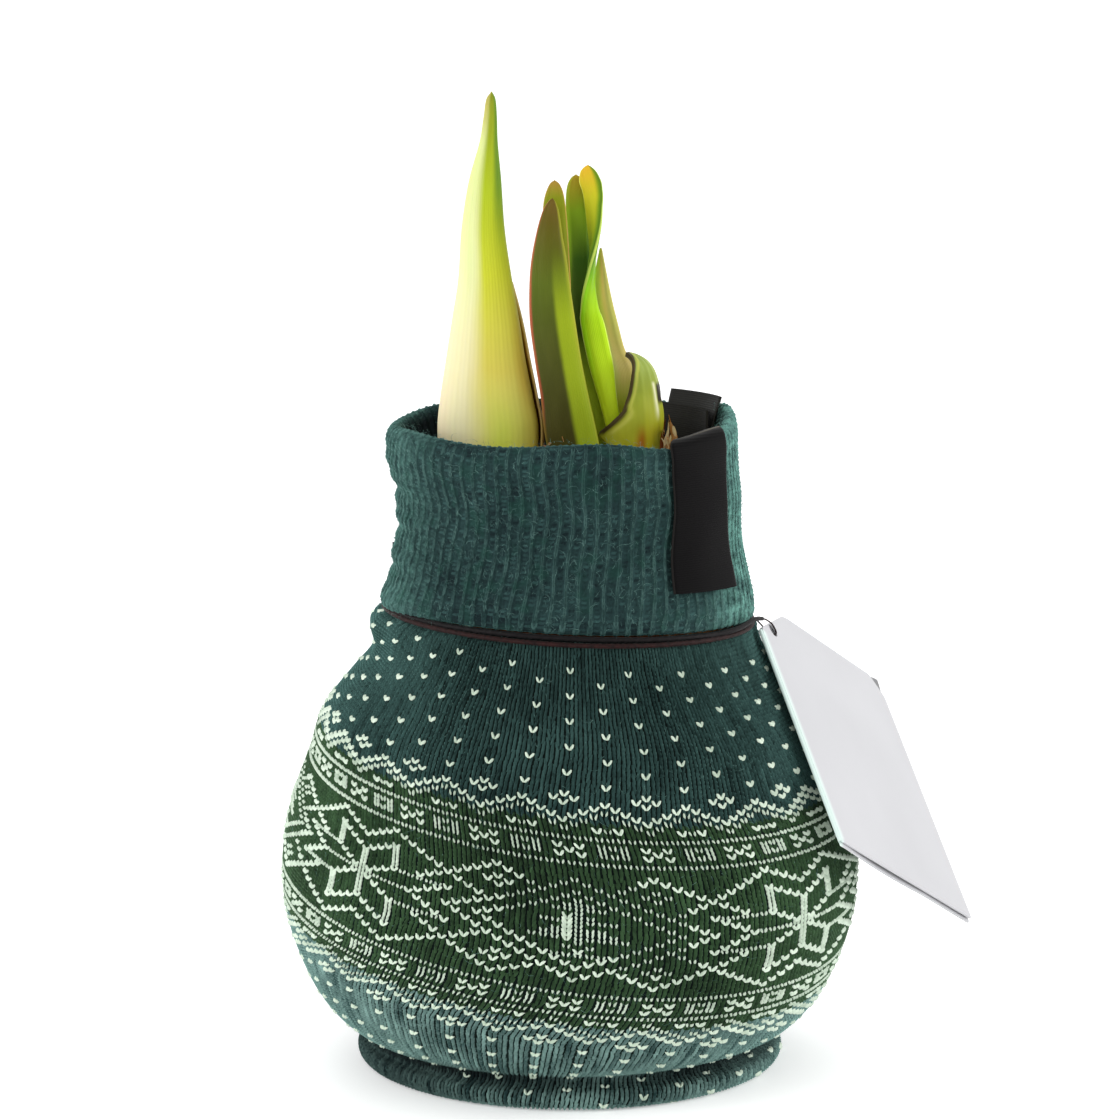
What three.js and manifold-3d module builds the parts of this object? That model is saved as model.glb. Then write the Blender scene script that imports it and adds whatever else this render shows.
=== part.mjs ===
// An amaryllis bulb in a knitted sleeve: the bulb with its shoots, the sleeve with its rolled hem, the
// turned-down rib collar with two labels and a seam tab, the elastic cord and the folded hang tag.
// Millimetres, +Z up, +X to the right, +Y to the back. The origin is the centre of the flat foot.
import * as THREE from 'three';
import { mergeVertices } from 'three/addons/utils/BufferGeometryUtils.js';
import Module from 'manifold-3d';

const wasm = await Module();
wasm.setup();

// Driving dimensions
const WALL = 1.6;                 // thickness of the knitted cloth
const GAP = 0.3;                  // clearance between pieces that touch
const BELLY_RADIUS = 46.6;        // of the dressed bulb
const BULB_RADIUS = BELLY_RADIUS - WALL - 2 * GAP;
const TIE_HEIGHT = 74;            // centre of the cord on the axis
const TIE_TILT = 0.047;           // the cord and the collar's lower edge drop this much per mm to the right
const TIE_RADIUS = 29.6;
const CORD_RADIUS = 0.55;
const NECK_RADIUS = TIE_RADIUS - CORD_RADIUS - GAP - 0.1;
const COLLAR_FOOT = 74.9;         // lower edge of the collar on the axis
const COLLAR_TOP = 103.8;         // crest of the collar's fold
const COLLAR_INSIDE = 25.6;
const RIM_BACK_RISE = 1.8;        // the rim stands this much higher at the back,
const RIM_LABEL_RISE = 2.2;       // and this much more beside the rear label
const RIBS = 88;
const RIB_RELIEF = 0.34;
const AROUND = 44;                // facets round the sleeve and the bulb
const SOCKET_FLOOR = 94;          // floor of the two sockets in the neck that the shoots grow from
const SHOOT_FOOT = SOCKET_FLOOR + GAP;
const NECK_SHIFT = -2.8;          // the neck of the bulb leans to the left
const TAG_SIZE = 47.5;
const TAG_LEAF = 0.6;             // thickness of one leaf of the card
const TAG_OPENING = 1;            // degrees between the two leaves
const LABEL_THICKNESS = 0.6;

const smooth = THREE.MathUtils.smoothstep;
const radians = THREE.MathUtils.degToRad;
const bell = (distance, width) => Math.exp(-((distance / width) ** 2));
const turnGap = (a, b) => Math.atan2(Math.sin(a - b), Math.cos(a - b));

// A closed mesh with shared vertices, no collapsed faces and all faces pointing out.
function closed(geometry) {
  geometry.deleteAttribute('normal');
  geometry.deleteAttribute('uv');
  const merged = mergeVertices(geometry, 1e-4);
  const index = merged.index.array;
  const kept = [];
  for (let i = 0; i < index.length; i += 3) {
    const [a, b, c] = [index[i], index[i + 1], index[i + 2]];
    if (a !== b && b !== c && a !== c) kept.push(a, b, c);
  }
  merged.setIndex(kept);
  return merged;
}

function outward(geometry) {
  const at = geometry.attributes.position;
  const index = geometry.index.array;
  const [a, b, c] = [new THREE.Vector3(), new THREE.Vector3(), new THREE.Vector3()];
  let volume = 0;
  for (let i = 0; i < index.length; i += 3) {
    a.fromBufferAttribute(at, index[i]);
    b.fromBufferAttribute(at, index[i + 1]);
    c.fromBufferAttribute(at, index[i + 2]);
    volume += a.dot(b.cross(c));
  }
  if (volume < 0) {
    for (let i = 0; i < index.length; i += 3) [index[i], index[i + 1]] = [index[i + 1], index[i]];
  }
  geometry.computeVertexNormals();
  return geometry;
}

// Moves every vertex of a closed geometry to the place that the rule gives it.
function shaped(geometry, place) {
  const merged = closed(geometry);
  const at = merged.attributes.position;
  const point = new THREE.Vector3();
  for (let i = 0; i < at.count; i += 1) {
    place(point.fromBufferAttribute(at, i));
    at.setXYZ(i, point.x, point.y, point.z);
  }
  return outward(merged);
}

function toSolid(geometry) {
  return new wasm.Manifold(new wasm.Mesh({
    numProp: 3,
    vertProperties: new Float32Array(geometry.attributes.position.array),
    triVerts: new Uint32Array(geometry.index.array),
  }));
}

function fromSolid(solid) {
  const mesh = solid.getMesh();
  const geometry = new THREE.BufferGeometry();
  geometry.setAttribute('position', new THREE.BufferAttribute(new Float32Array(mesh.vertProperties), 3));
  geometry.setIndex(Array.from(mesh.triVerts));
  return outward(geometry);
}

const group = new THREE.Group();

function add(name, geometry, color, roughness) {
  const material = new THREE.MeshStandardMaterial({ color, roughness, metalness: 0 });
  const mesh = new THREE.Mesh(geometry, material);
  mesh.name = name;
  group.add(mesh);
  return mesh;
}

// A smooth line through [radius, height] points.
const rounded = (points, count) => new THREE.SplineCurve(points.map(([r, z]) => new THREE.Vector2(r, z)))
  .getPoints(count);
const corners = (points) => points.map(([r, z]) => new THREE.Vector2(r, z));

// A turned solid, upright, whose vertices the rule then moves. The rule gets the point, its angle from +X
// towards +Y and its radius.
function turned(profile, facets, place) {
  const lathe = new THREE.LatheGeometry(profile, facets);
  return shaped(lathe, (p) => {
    const [radius, angle, height] = [Math.hypot(p.x, p.z), Math.atan2(-p.z, p.x), p.y];
    p.set(radius * Math.cos(angle), radius * Math.sin(angle), height);
    place(p, angle, radius);
  });
}

// ---- The sleeve ----

// Outer line of the sleeve, from the deep fold above the rolled hem to the groove of the cord.
const SLEEVE_LINE = [
  [32.0, 5.0], [33.3, 5.8], [35.2, 6.5], [37.2, 7.9], [39.8, 10.6], [41.9, 13.8], [43.6, 17.4], [45.7, 23.6],
  [BELLY_RADIUS, 31], [46.0, 38.5], [44.2, 45.5], [41.2, 52.4], [37.4, 59], [33.7, 65], [31.2, 69.8],
  [30.3, 72.2],
];
const HEM_LINE = [[30.8, 0], [32.6, 0.3], [34.0, 0.9], [34.5, 2.2], [34.0, 3.1], [32.2, 3.8]];

// The cloth stands fuller on the left, at the shoulder and just below the cord, gives way behind the tag, and
// closes the fold above the hem at the front left.
function fullness(angle, height) {
  const left = (1 - Math.cos(angle)) / 2;
  const shoulder = left * 1.5 * bell(height - 57.5, 4.6);
  const fold = 1.4 * bell(height - 71, 2) - bell(height - 66.6, 2.4);
  const belowCord = bell(turnGap(angle, Math.PI), 0.7) * fold;
  const behindTag = -1.2 * bell(angle, 0.35) * bell(height - 71, 3.5);
  const hem = 1.6 * bell(turnGap(angle, radians(-165)), 0.75) * bell(height - 4.6, 1.1);
  return (height > 72.5 ? 0 : shoulder + belowCord + behindTag) + hem;
}

const tieDrop = (x, height) => -TIE_TILT * x * smooth(height, 52, 72);

function sleeve() {
  const line = rounded(SLEEVE_LINE, 20);
  const hem = rounded(HEM_LINE, 6);
  const inside = [
    [NECK_RADIUS - WALL, 74.6], [28.4, 72], [29.5, 69.8], [35.8, 59], [42.5, 45.5],
    [BELLY_RADIUS - WALL, 31], [44.0, 23.6], [40.2, 13.8], [32.8, 7.2], [27, 2.4], [0, WALL],
  ];
  const profile = [
    new THREE.Vector2(0, 0), ...hem, ...line,
    ...corners([[29.5, 73], [NECK_RADIUS, 73.3], [NECK_RADIUS, 74.6], ...inside]),
  ];
  return turned(profile, AROUND, (p, angle, radius) => {
    const grown = radius > 25 ? 1 + fullness(angle, p.z) / radius : 1;
    p.x *= grown;
    p.y *= grown;
    p.z += tieDrop(p.x, p.z);
  });
}

// ---- The collar ----

// Outer half-section of the collar: the turned-down rib, a little wider at the rim and at the lower edge.
const COLLAR_LINE = [[29.6, COLLAR_FOOT], [28.8, 80], [27.7, 86], [27.6, 91.5], [28.3, 101.5]];
const collarSwell = (height) => smooth(height, 92, 101) * -1.1;
const collarDrop = (x, height) => -TIE_TILT * x * (1 - smooth(height, COLLAR_FOOT, COLLAR_TOP));

// The value at a height, on straight lines between [value, height] points.
function between(points, height) {
  const above = points.findIndex(([, z]) => z >= height);
  if (above < 0) return points[points.length - 1][0];
  if (above === 0) return points[0][0];
  const [[v0, z0], [v1, z1]] = [points[above - 1], points[above]];
  return THREE.MathUtils.lerp(v0, v1, (height - z0) / (z1 - z0));
}

const collarRadius = (height) => between(COLLAR_LINE, height);

function collar() {
  const inside = [
    [27.4, COLLAR_TOP - 0.5], [26.5, COLLAR_TOP], [25.8, COLLAR_TOP - 0.9], [COLLAR_INSIDE, 96],
    [COLLAR_INSIDE, 86], [26.6, COLLAR_FOOT],
  ];
  const profile = corners([...COLLAR_LINE, ...inside, COLLAR_LINE[0]]);
  return turned(profile, 2 * RIBS, (p, angle, radius) => {
    const relief = smooth(radius, 27, 27.6) * RIB_RELIEF * Math.cos(RIBS * (angle + Math.PI / 2));
    p.x = (radius + relief) * Math.cos(angle) + collarSwell(p.z);
    p.y = (radius + relief) * Math.sin(angle);
    const rise = RIM_BACK_RISE * ((1 + Math.sin(angle)) / 2) ** 2
      + RIM_LABEL_RISE * bell(turnGap(angle, radians(13)), 0.25);
    p.z += collarDrop(p.x, p.z) + rise * smooth(p.z, 96, COLLAR_TOP);
  });
}

// ---- The bulb ----

const BULB_LINE = [
  [13.5, 2.2], [20, 2.9], [27, 5.4], [33.4, 9.6], [38.4, 14.6], [42.2, 21], [BULB_RADIUS, 29.5], [43.2, 38],
  [41.4, 46], [38.4, 52.5], [34.4, 58.5], [30.6, 64], [27.9, 69], [25.7, 74], [24.4, 80], [22.3, 87],
  [20.8, 93],
];
// The edges of three dry scales, one inside the other.
const SCALE_EDGES = [
  [19.7, 99.4], [19.0, 100.2], [18.3, 99.3], [16.2, 98.3], [15.6, 99.6], [14.9, 98.5], [12.4, 97.5],
  [11.8, 98.7], [11.1, 97.5], [0, 97],
];
// Sockets for the flower shoot and for the leaves: centre across and deep, and half sizes.
const SOCKETS = [[-12.9, -2.6, 9.2, 6.2], [5.7, -0.9, 10.4, 9.2]];
const squarer = (v) => Math.sign(v) * Math.abs(v) ** 0.6;

// The neck is oval, and a torn dry scale stands up on its right.
function bulb() {
  const profile = [new THREE.Vector2(0, 2.2), ...rounded(BULB_LINE, 18), ...corners(SCALE_EDGES)];
  const whole = turned(profile, AROUND, (p, angle, radius) => {
    const neck = smooth(p.z, 76, 97);
    const torn = bell(turnGap(angle, radians(-8)), 0.42) * (4.6 + 1.3 * Math.sin(13 * angle));
    const outerEdge = radius > 17 && p.z > 99;
    p.x = radius * Math.cos(angle) * (1 + 0.097 * neck) + NECK_SHIFT * neck;
    p.y = radius * Math.sin(angle) * (1 - 0.25 * neck);
    if (outerEdge) p.z += torn + 0.4 * Math.sin(7 * angle);
  });
  return fromSolid(SOCKETS.reduce((solid, [x, y, halfWidth, halfDepth]) => {
    const pin = new THREE.CylinderGeometry(1, 1, 20, 24);
    const socket = shaped(pin, (p) => {
      p.set(x + halfWidth * squarer(p.x), y + halfDepth * squarer(p.z), SOCKET_FLOOR + 10 + p.y);
    });
    return solid.subtract(toSolid(socket));
  }, toSolid(whole)));
}

// ---- Shoots and leaves ----

// An upright blade. Each station is [height, x, half width, y, half thickness, turn in degrees, hollow], and
// hollow is how far the margins stand in front of the middle.
function blade(stations, sides, rows) {
  const curveOf = (pick) => new THREE.CatmullRomCurve3(stations.map((s) => new THREE.Vector3(...pick(s))));
  const path = curveOf(([z, x, , y]) => [x, y, z]);
  const section = curveOf(([, , width, , thickness, turn]) => [width, thickness, radians(turn)]);
  const bend = curveOf(([, , , , , , hollow]) => [hollow, 0, 0]);
  return shaped(new THREE.CylinderGeometry(1, 1, 1, sides, rows), (p) => {
    const along = THREE.MathUtils.clamp(p.y + 0.5, 0, 1);
    const centre = path.getPoint(along);
    const size = section.getPoint(along);
    const across = size.x * p.x;
    const lift = size.y * p.z - bend.getPoint(along).x * p.x ** 2;
    p.set(
      centre.x + across * Math.cos(size.z) - lift * Math.sin(size.z),
      centre.y + across * Math.sin(size.z) + lift * Math.cos(size.z),
      centre.z,
    );
  });
}

// A curved sheet: the rule gets how far the point is across and along, 0 to 1, and its side, -0.5 or 0.5.
function sheet(across, along, place) {
  const box = new THREE.BoxGeometry(1, 1, 1, across, along, 1);
  return shaped(box, (p) => place(p, p.x + 0.5, p.y + 0.5, p.z));
}

const FLOWER_SHOOT = [
  [SHOOT_FOOT, -13.1, 7.6, -3, 4.8, 0, 0], [104, -13.1, 8.1, -3, 5.1, 0, 0],
  [114.8, -13.45, 6.35, -3, 4.3, 0, 0], [121.2, -13.45, 5.35, -3, 3.8, 0, 0],
  [127.5, -13.5, 4.3, -3, 3.2, 0, 0], [135.5, -13.8, 3.45, -3, 2.6, 0, 0],
  [143.4, -13.45, 2.55, -3, 2, 0, 0], [149.7, -12.85, 1.4, -3, 1.2, 0, 0],
  [154, -12.6, 1, -3, 0.85, 0, 0], [157, -12.4, 0.35, -3, 0.35, 0, 0],
];

const LEAVES = {
  leaf_1: {
    color: 0x6d7f2c,
    stations: [
      [SHOOT_FOOT, 1.9, 4.2, -7.6, 1.1, 0, -0.5], [104.1, 0, 4.15, -7.6, 1.1, 0, -0.5],
      [109, -0.8, 3.85, -7.6, 1.0, 0, -0.5], [115.2, -1.9, 3.7, -7.6, 0.95, 0, -0.5],
      [121.6, -2.8, 3.6, -7.6, 0.9, 0, -0.4], [127.9, -3.26, 3.15, -7.5, 0.8, 0, -0.4],
      [134.2, -3.32, 2.3, -7.3, 0.7, 0, -0.3], [138, -3.15, 1.6, -7.1, 0.55, 0, -0.1],
      [140.6, -2.85, 0.45, -7, 0.35, 0, 0],
    ],
  },
  leaf_2: {
    color: 0x87983a,
    stations: [
      [SHOOT_FOOT, 0.7, 2.4, -5, 0.7, 0, -0.3], [102, 0.4, 2.4, -5, 0.7, 0, -0.3],
      [110, -0.6, 2.4, -5, 0.7, 0, -0.3], [120, -1.7, 2.2, -5, 0.65, 0, -0.3],
      [129, -2.1, 2.1, -4.9, 0.6, 0, -0.3], [135, -2.35, 2.0, -4.7, 0.55, 0, -0.2],
      [140.5, -2.5, 1.4, -4.6, 0.45, 0, 0], [143.3, -2.45, 0.4, -4.6, 0.35, 0, 0],
    ],
  },
  leaf_3: {
    color: 0x4f7a24,
    stations: [
      [SHOOT_FOOT, 4.6, 2.3, -0.3, 0.7, 0, -0.2], [102, 4.3, 2.3, -0.3, 0.7, 0, -0.2],
      [110, 3.2, 2.3, -0.3, 0.65, 0, -0.2], [119, 2.1, 2.1, -0.3, 0.6, 0, -0.2],
      [127, 1.6, 1.8, -0.3, 0.5, 0, -0.2], [133.8, 1.4, 1.7, -0.4, 0.5, 0, -0.2],
      [140.1, 1.0, 1.6, -0.7, 0.45, 0, 0], [144, 0.95, 0.4, -0.8, 0.35, 0, 0],
    ],
  },
  leaf_4: {
    color: 0x9ccb26,
    stations: [
      [SHOOT_FOOT, 8.6, 1.3, -2.9, 0.6, 0, -0.2], [102.7, 7.3, 1.3, -2.9, 0.6, 0, -0.2],
      [107.2, 6.3, 1.4, -2.9, 0.6, 0, -0.2], [113.3, 5.1, 1.95, -2.9, 0.65, 0, -0.2],
      [119.7, 3.75, 1.95, -2.9, 0.65, 0, -0.1], [122.9, 3.15, 1.55, -2.9, 0.6, 20, 0],
      [126, 3.05, 1.4, -2.9, 0.6, 48, 0], [129.2, 3.4, 1.35, -2.9, 0.55, 74, 0],
      [132.4, 3.7, 1.5, -2.9, 0.55, 104, 0], [135.9, 3.83, 1.5, -2.9, 0.5, 132, 0],
      [139, 3.75, 1.5, -2.8, 0.5, 158, 0], [143.4, 3.14, 1.72, -2.6, 0.45, 180, 0],
      [145.3, 2.85, 0.5, -2.6, 0.35, 180, 0],
    ],
  },
  leaf_5: {
    color: 0x8f8a45,
    stations: [
      [SHOOT_FOOT, 7.6, 3.2, 3.4, 0.8, 0, 0.2], [102, 7.6, 3.3, 3.4, 0.8, 0, 0.2],
      [108, 7.6, 3.3, 3.4, 0.75, 0, 0.2], [112, 7.4, 2.9, 3.5, 0.7, 0, 0.1],
      [115.6, 6.7, 2.25, 3.7, 0.65, 0, 0], [119.7, 5.9, 1.9, 3.9, 0.6, 0, 0],
      [123.7, 5.2, 1.6, 4.1, 0.5, 0, 0], [128.6, 4.95, 0.85, 4.2, 0.4, 0, 0],
      [131.8, 4.95, 0.35, 4.2, 0.33, 0, 0],
    ],
  },
};

// The rear valve of the flower shoot's spathe lies against its right and back, and ends in a point.
function rearSpathe() {
  const [foot, tip] = [SHOOT_FOOT, 127];
  const curve = new THREE.CatmullRomCurve3(FLOWER_SHOOT.map(([z, x, a, , b]) => new THREE.Vector3(x, a, b)));
  const heights = FLOWER_SHOOT.map(([z]) => z);
  return sheet(8, 9, (p, across, along, side) => {
    const height = THREE.MathUtils.lerp(foot, tip, along);
    const next = heights.findIndex((z) => z >= height);
    const [low, high] = [heights[Math.max(next - 1, 0)], heights[Math.max(next, 1)]];
    const part = Math.max(next - 1, 0) + (height - low) / (high - low);
    const { x, y: halfWidth, z: halfDepth } = curve.getPoint(part / (heights.length - 1));
    const spread = THREE.MathUtils.lerp(62, 14, along ** 2);
    const angle = radians(46 + THREE.MathUtils.lerp(-spread, spread, across));
    const stand = 0.8 + 0.7 * side;
    p.set(x + (halfWidth + stand) * Math.cos(angle), -3 + (halfDepth + stand) * Math.sin(angle), height);
  });
}

// The cut sheath scale wraps the leaves on the right, hooded at the top, with a slanting cut edge in front.
const SCALE_AXIS = [8.5, 0.5];
const SCALE_LINE = [
  [6.1, SHOOT_FOOT], [6.3, 104], [6.2, 106], [5.8, 108.5], [5.4, 110.8], [4.7, 112.9], [3.6, 114.3],
  [2.1, 115.2], [1.0, 115.5],
];
// Where its cut edge runs in front: degrees about its axis, and height.
const SCALE_EDGE = [
  [-106, 101], [-126, 103.2], [-105, 105.4], [-90, 107.5], [-82, 109.2], [-74, 111.8], [-66, 113.7],
];

function sheathScale() {
  const line = new THREE.SplineCurve(corners(SCALE_LINE));
  return sheet(9, 14, (p, across, along, side) => {
    const { x: radius, y: height } = line.getPoint(along);
    const front = between(SCALE_EDGE, height);
    const back = 70 - 60 * smooth(height, 103, 112);
    const angle = radians(THREE.MathUtils.lerp(front, back, across));
    const hood = smooth(height, 109, 115.5);
    const stand = radius + 0.7 * side * (1 - 0.6 * hood);
    p.set(
      SCALE_AXIS[0] + stand * Math.cos(angle),
      SCALE_AXIS[1] + stand * Math.sin(angle) - 2.2 * hood,
      height + 0.7 * side * hood,
    );
  });
}

// ---- Labels and seam tab ----

// A strip that follows [radius, height] points round the collar, at an angle from the front to the right.
function strip({ line, width, middle, lean = 0, across, along }) {
  const curve = new THREE.SplineCurve(corners(line));
  return sheet(across, along, (p, u, v, side) => {
    const { x: radius, y: height } = curve.getPoint(v);
    const tangent = curve.getTangent(v);
    const stand = radius + LABEL_THICKNESS * side * -tangent.y;
    const angle = radians(middle + lean * v) + (width * (u - 0.5)) / radius;
    const x = stand * Math.sin(angle) + collarSwell(height);
    p.set(x, -stand * Math.cos(angle), height + LABEL_THICKNESS * side * tangent.x + collarDrop(x, height));
  });
}

const PROUD = RIB_RELIEF + GAP + LABEL_THICKNESS / 2 + 0.1;
const frontLabelLine = [
  [COLLAR_INSIDE - 0.8, 96], [COLLAR_INSIDE - 0.7, 101.5], [25.1, 104.1], [26.8, COLLAR_TOP + 1],
  [28.7, 104.1], [29.3, 101.8],
  ...[98, 94, 90, 86.5, 83.5, 81.1].map((z) => [collarRadius(z) + PROUD, z]),
];

function seamTab() {
  const tab = new THREE.BoxGeometry(2.4, 0.8, 2.2);
  const angle = radians(163);
  const reach = collarRadius(81.4) + RIB_RELIEF + GAP + 1.45;
  return shaped(tab, (p) => {
    const [x, y] = [p.x + reach, p.y];
    p.set(x * Math.cos(angle) - y * Math.sin(angle), x * Math.sin(angle) + y * Math.cos(angle), p.z + 82.6);
  });
}

// ---- The hang tag ----

// The card's corner by the fold and the upper edge, the run of its upper edge, and the run of its fold.
const TAG_CORNER = new THREE.Vector3(28.47, -2.6, 77.37);
const TAG_ACROSS = new THREE.Vector3(0.5113, 0.7338, -0.4473).normalize();
const TAG_DOWN = new THREE.Vector3(0.2823, -0.635, -0.719);
TAG_DOWN.addScaledVector(TAG_ACROSS, -TAG_DOWN.dot(TAG_ACROSS)).normalize();
const TAG_FACE = new THREE.Vector3().crossVectors(TAG_DOWN, TAG_ACROSS);
const TAG_HOLE = { across: 5.4, down: 6.5, radius: 1.8 };
const TAG_CUT = { across: 12.5, down: 6.9, round: 2 };
const FOLD_DEPTH = 1.35;          // outside of the fold, front to back
const FOLD_RUN = 1;               // width of the fold, where the two leaves are one

// A point of the tag: across and down on its front leaf, and out of it.
const onTag = (across, down, out) => TAG_CORNER.clone()
  .addScaledVector(TAG_ACROSS, across).addScaledVector(TAG_DOWN, down).addScaledVector(TAG_FACE, out);

function tag() {
  const slope = Math.tan(radians(TAG_OPENING));
  const slit = FOLD_DEPTH - 2 * TAG_LEAF;
  const open = (TAG_SIZE - FOLD_RUN) * slope;
  const section = new THREE.Shape([
    [0, 0], [TAG_SIZE, 0], [TAG_SIZE, -TAG_LEAF], [FOLD_RUN, -TAG_LEAF], [FOLD_RUN, -TAG_LEAF - slit],
    [TAG_SIZE, -TAG_LEAF - slit - open], [TAG_SIZE, -FOLD_DEPTH - open], [FOLD_RUN, -FOLD_DEPTH],
    [0, -FOLD_DEPTH],
  ].map(([x, y]) => new THREE.Vector2(x, y)));
  const card = new THREE.ExtrudeGeometry(section, { depth: TAG_SIZE, steps: 1, bevelEnabled: false });
  const folded = shaped(card, (p) => p.set(p.x, p.z, p.y));

  const outline = new THREE.Shape();
  const { across, down, round } = TAG_CUT;
  outline.moveTo(across + round, 0);
  outline.lineTo(TAG_SIZE + 1, 0);
  outline.lineTo(TAG_SIZE + 1, TAG_SIZE + 1);
  outline.lineTo(0, TAG_SIZE + 1);
  outline.lineTo(0, down + round);
  outline.quadraticCurveTo(0, down, round * 0.9, down - round * 0.45);
  outline.lineTo(across - round * 0.9, round * 0.45);
  outline.quadraticCurveTo(across, 0, across + round, 0);
  const block = new THREE.ExtrudeGeometry(outline, { depth: 20, bevelEnabled: false, curveSegments: 4 });
  const kept = shaped(block, (p) => p.set(p.x, p.y, p.z - 15));

  const pin = new THREE.CylinderGeometry(TAG_HOLE.radius, TAG_HOLE.radius, 20, 16);
  const hole = shaped(pin, (p) => p.set(p.x + TAG_HOLE.across, p.z + TAG_HOLE.down, p.y));
  const flat = fromSolid(toSolid(folded).intersect(toSolid(kept)).subtract(toSolid(hole)));
  return shaped(flat, (p) => p.copy(onTag(p.x, p.y, p.z)));
}

// ---- The cord ----

// A point of the ring round the neck, at an angle from the front towards the right.
function onTie(angle) {
  const x = TIE_RADIUS * Math.sin(radians(angle));
  return new THREE.Vector3(x, -TIE_RADIUS * Math.cos(radians(angle)), TIE_HEIGHT - TIE_TILT * x);
}

// It starts in the knot behind the collar, runs round the left and the front, leaves the groove in front of
// the tag, passes through the tag's hole and goes back into the groove behind it.
function cord() {
  const knotAngle = 150;
  const ring = [];
  for (let angle = knotAngle - 360; angle <= 45; angle += 15) ring.push(onTie(angle));
  const { across, down } = TAG_HOLE;
  const through = [
    new THREE.Vector3(26.2, -15.3, 73), new THREE.Vector3(29.4, -11.7, 73.4), onTag(-0.6, down, 1.5),
    onTag(across - 2.2, down + 0.2, 1.4), onTag(across, down + 0.1, -0.8),
    onTag(across + 1, down - 1, -2.5), onTag(across + 1.7, down - 3.8, -2.7),
  ];
  const back = [104, 118, 134, knotAngle].map(onTie);
  const route = new THREE.CatmullRomCurve3([...ring, ...through, ...back], false, 'centripetal');
  const round = new THREE.Shape();
  round.absarc(0, 0, CORD_RADIUS, 0, 2 * Math.PI);
  const run = new THREE.ExtrudeGeometry(round, {
    steps: 70, extrudePath: route, bevelEnabled: false, curveSegments: 4,
  });
  const middle = onTie(knotAngle);
  const knot = shaped(new THREE.SphereGeometry(1, 8, 6), (p) => {
    const turn = radians(knotAngle);
    const [side, out] = [1.9 * p.x, 0.85 * p.z + 0.3];
    p.set(
      middle.x + out * Math.sin(turn) + side * Math.cos(turn),
      middle.y - out * Math.cos(turn) + side * Math.sin(turn),
      middle.z + 0.7 * p.y - 0.1,
    );
  });
  return fromSolid(toSolid(shaped(run, (p) => p)).add(toSolid(knot)));
}

add('bulb', bulb(), 0x9a6a3f, 0.7);
add('flower_shoot', blade(FLOWER_SHOOT, 14, 16), 0xc9cf55, 0.5);
add('rear_spathe', rearSpathe(), 0x8a6a30, 0.55);
for (const [name, { color, stations }] of Object.entries(LEAVES)) {
  add(name, blade(stations, 10, 14), color, 0.45);
}
add('sheath_scale', sheathScale(), 0x9fb050, 0.5);
add('sleeve', sleeve(), 0x2f5a4e, 0.95);
add('collar', collar(), 0x23403f, 0.95);
add('cord', cord(), 0x1c1817, 0.8);
add('front_label', strip({
  line: frontLabelLine, width: 13.6, middle: 48.3, lean: 0.7, across: 5, along: 16,
}), 0x262324, 0.7);
add('rear_label', strip({
  line: [[24.7, 95], [24.6, 99], [24.7, 103], [24.9, 105.5], [25.4, 107.9]],
  width: 15.2,
  middle: 118,
  across: 5,
  along: 6,
}), 0x1d1b1c, 0.6);
add('seam_tab', seamTab(), 0x1d1b1c, 0.7);
add('tag', tag(), 0xe2e3e6, 0.5);

export default group;
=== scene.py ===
"""The looks of an amaryllis bulb in a knitted sleeve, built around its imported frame.

Lengths are in millimetres until a mesh is made, which turns them into metres. An azimuth runs from the front
(-Y) towards the right (+X), in radians unless its name says degrees.
"""
import math

import bpy
import numpy as np
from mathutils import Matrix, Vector
from mathutils.geometry import delaunay_2d_cdt


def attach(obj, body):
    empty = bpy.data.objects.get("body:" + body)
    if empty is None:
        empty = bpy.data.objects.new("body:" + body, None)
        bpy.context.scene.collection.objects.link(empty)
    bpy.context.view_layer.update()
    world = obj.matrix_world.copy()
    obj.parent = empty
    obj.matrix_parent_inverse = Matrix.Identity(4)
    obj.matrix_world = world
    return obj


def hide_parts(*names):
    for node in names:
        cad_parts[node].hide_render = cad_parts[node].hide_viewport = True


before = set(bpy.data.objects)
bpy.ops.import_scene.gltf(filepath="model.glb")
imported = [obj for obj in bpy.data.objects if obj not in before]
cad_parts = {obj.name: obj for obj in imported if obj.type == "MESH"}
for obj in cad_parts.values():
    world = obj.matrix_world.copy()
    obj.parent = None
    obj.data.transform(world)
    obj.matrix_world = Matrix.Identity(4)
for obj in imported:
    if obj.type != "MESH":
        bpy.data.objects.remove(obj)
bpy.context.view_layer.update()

MM = 0.001
rng = np.random.default_rng(26)

# ---- Camera ----

CAMERA_PLACE = (-1.6, -620.0, 178.5)
CAMERA_TARGET = (-1.6, 0.0, 82.0)
LENS = 124.84
SENSOR = 36.0


def aimed(name, data, place, target):
    """A camera or a light at a place, turned towards a target, both in metres."""
    thing = bpy.data.objects.new(name, data)
    thing.location = place
    thing.rotation_mode = "QUATERNION"
    thing.rotation_quaternion = (Vector(target) - Vector(place)).to_track_quat("-Z", "Y")
    bpy.context.scene.collection.objects.link(thing)
    return thing


def make_camera():
    data = bpy.data.cameras.new("camera")
    data.lens, data.sensor_width = LENS, SENSOR
    place, target = (Vector(point) * MM for point in (CAMERA_PLACE, CAMERA_TARGET))
    bpy.context.scene.camera = aimed("camera", data, place, target)


make_camera()

# ---- Helpers ----


def smooth_step(value, low, high):
    t = np.clip((value - low) / (high - low), 0, 1)
    return t * t * (3 - 2 * t)


def bell(distance, width):
    return np.exp(-((distance / width) ** 2))


def turns(count):
    """Angles once round, in count even steps."""
    return np.arange(count) * 2 * math.pi / count


def beside(azimuth, degrees, width):
    """1 at an azimuth given in degrees, falling to either side of it over width in radians."""
    gap = azimuth - math.radians(degrees)
    return bell(np.arctan2(np.sin(gap), np.cos(gap)), width)


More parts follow.
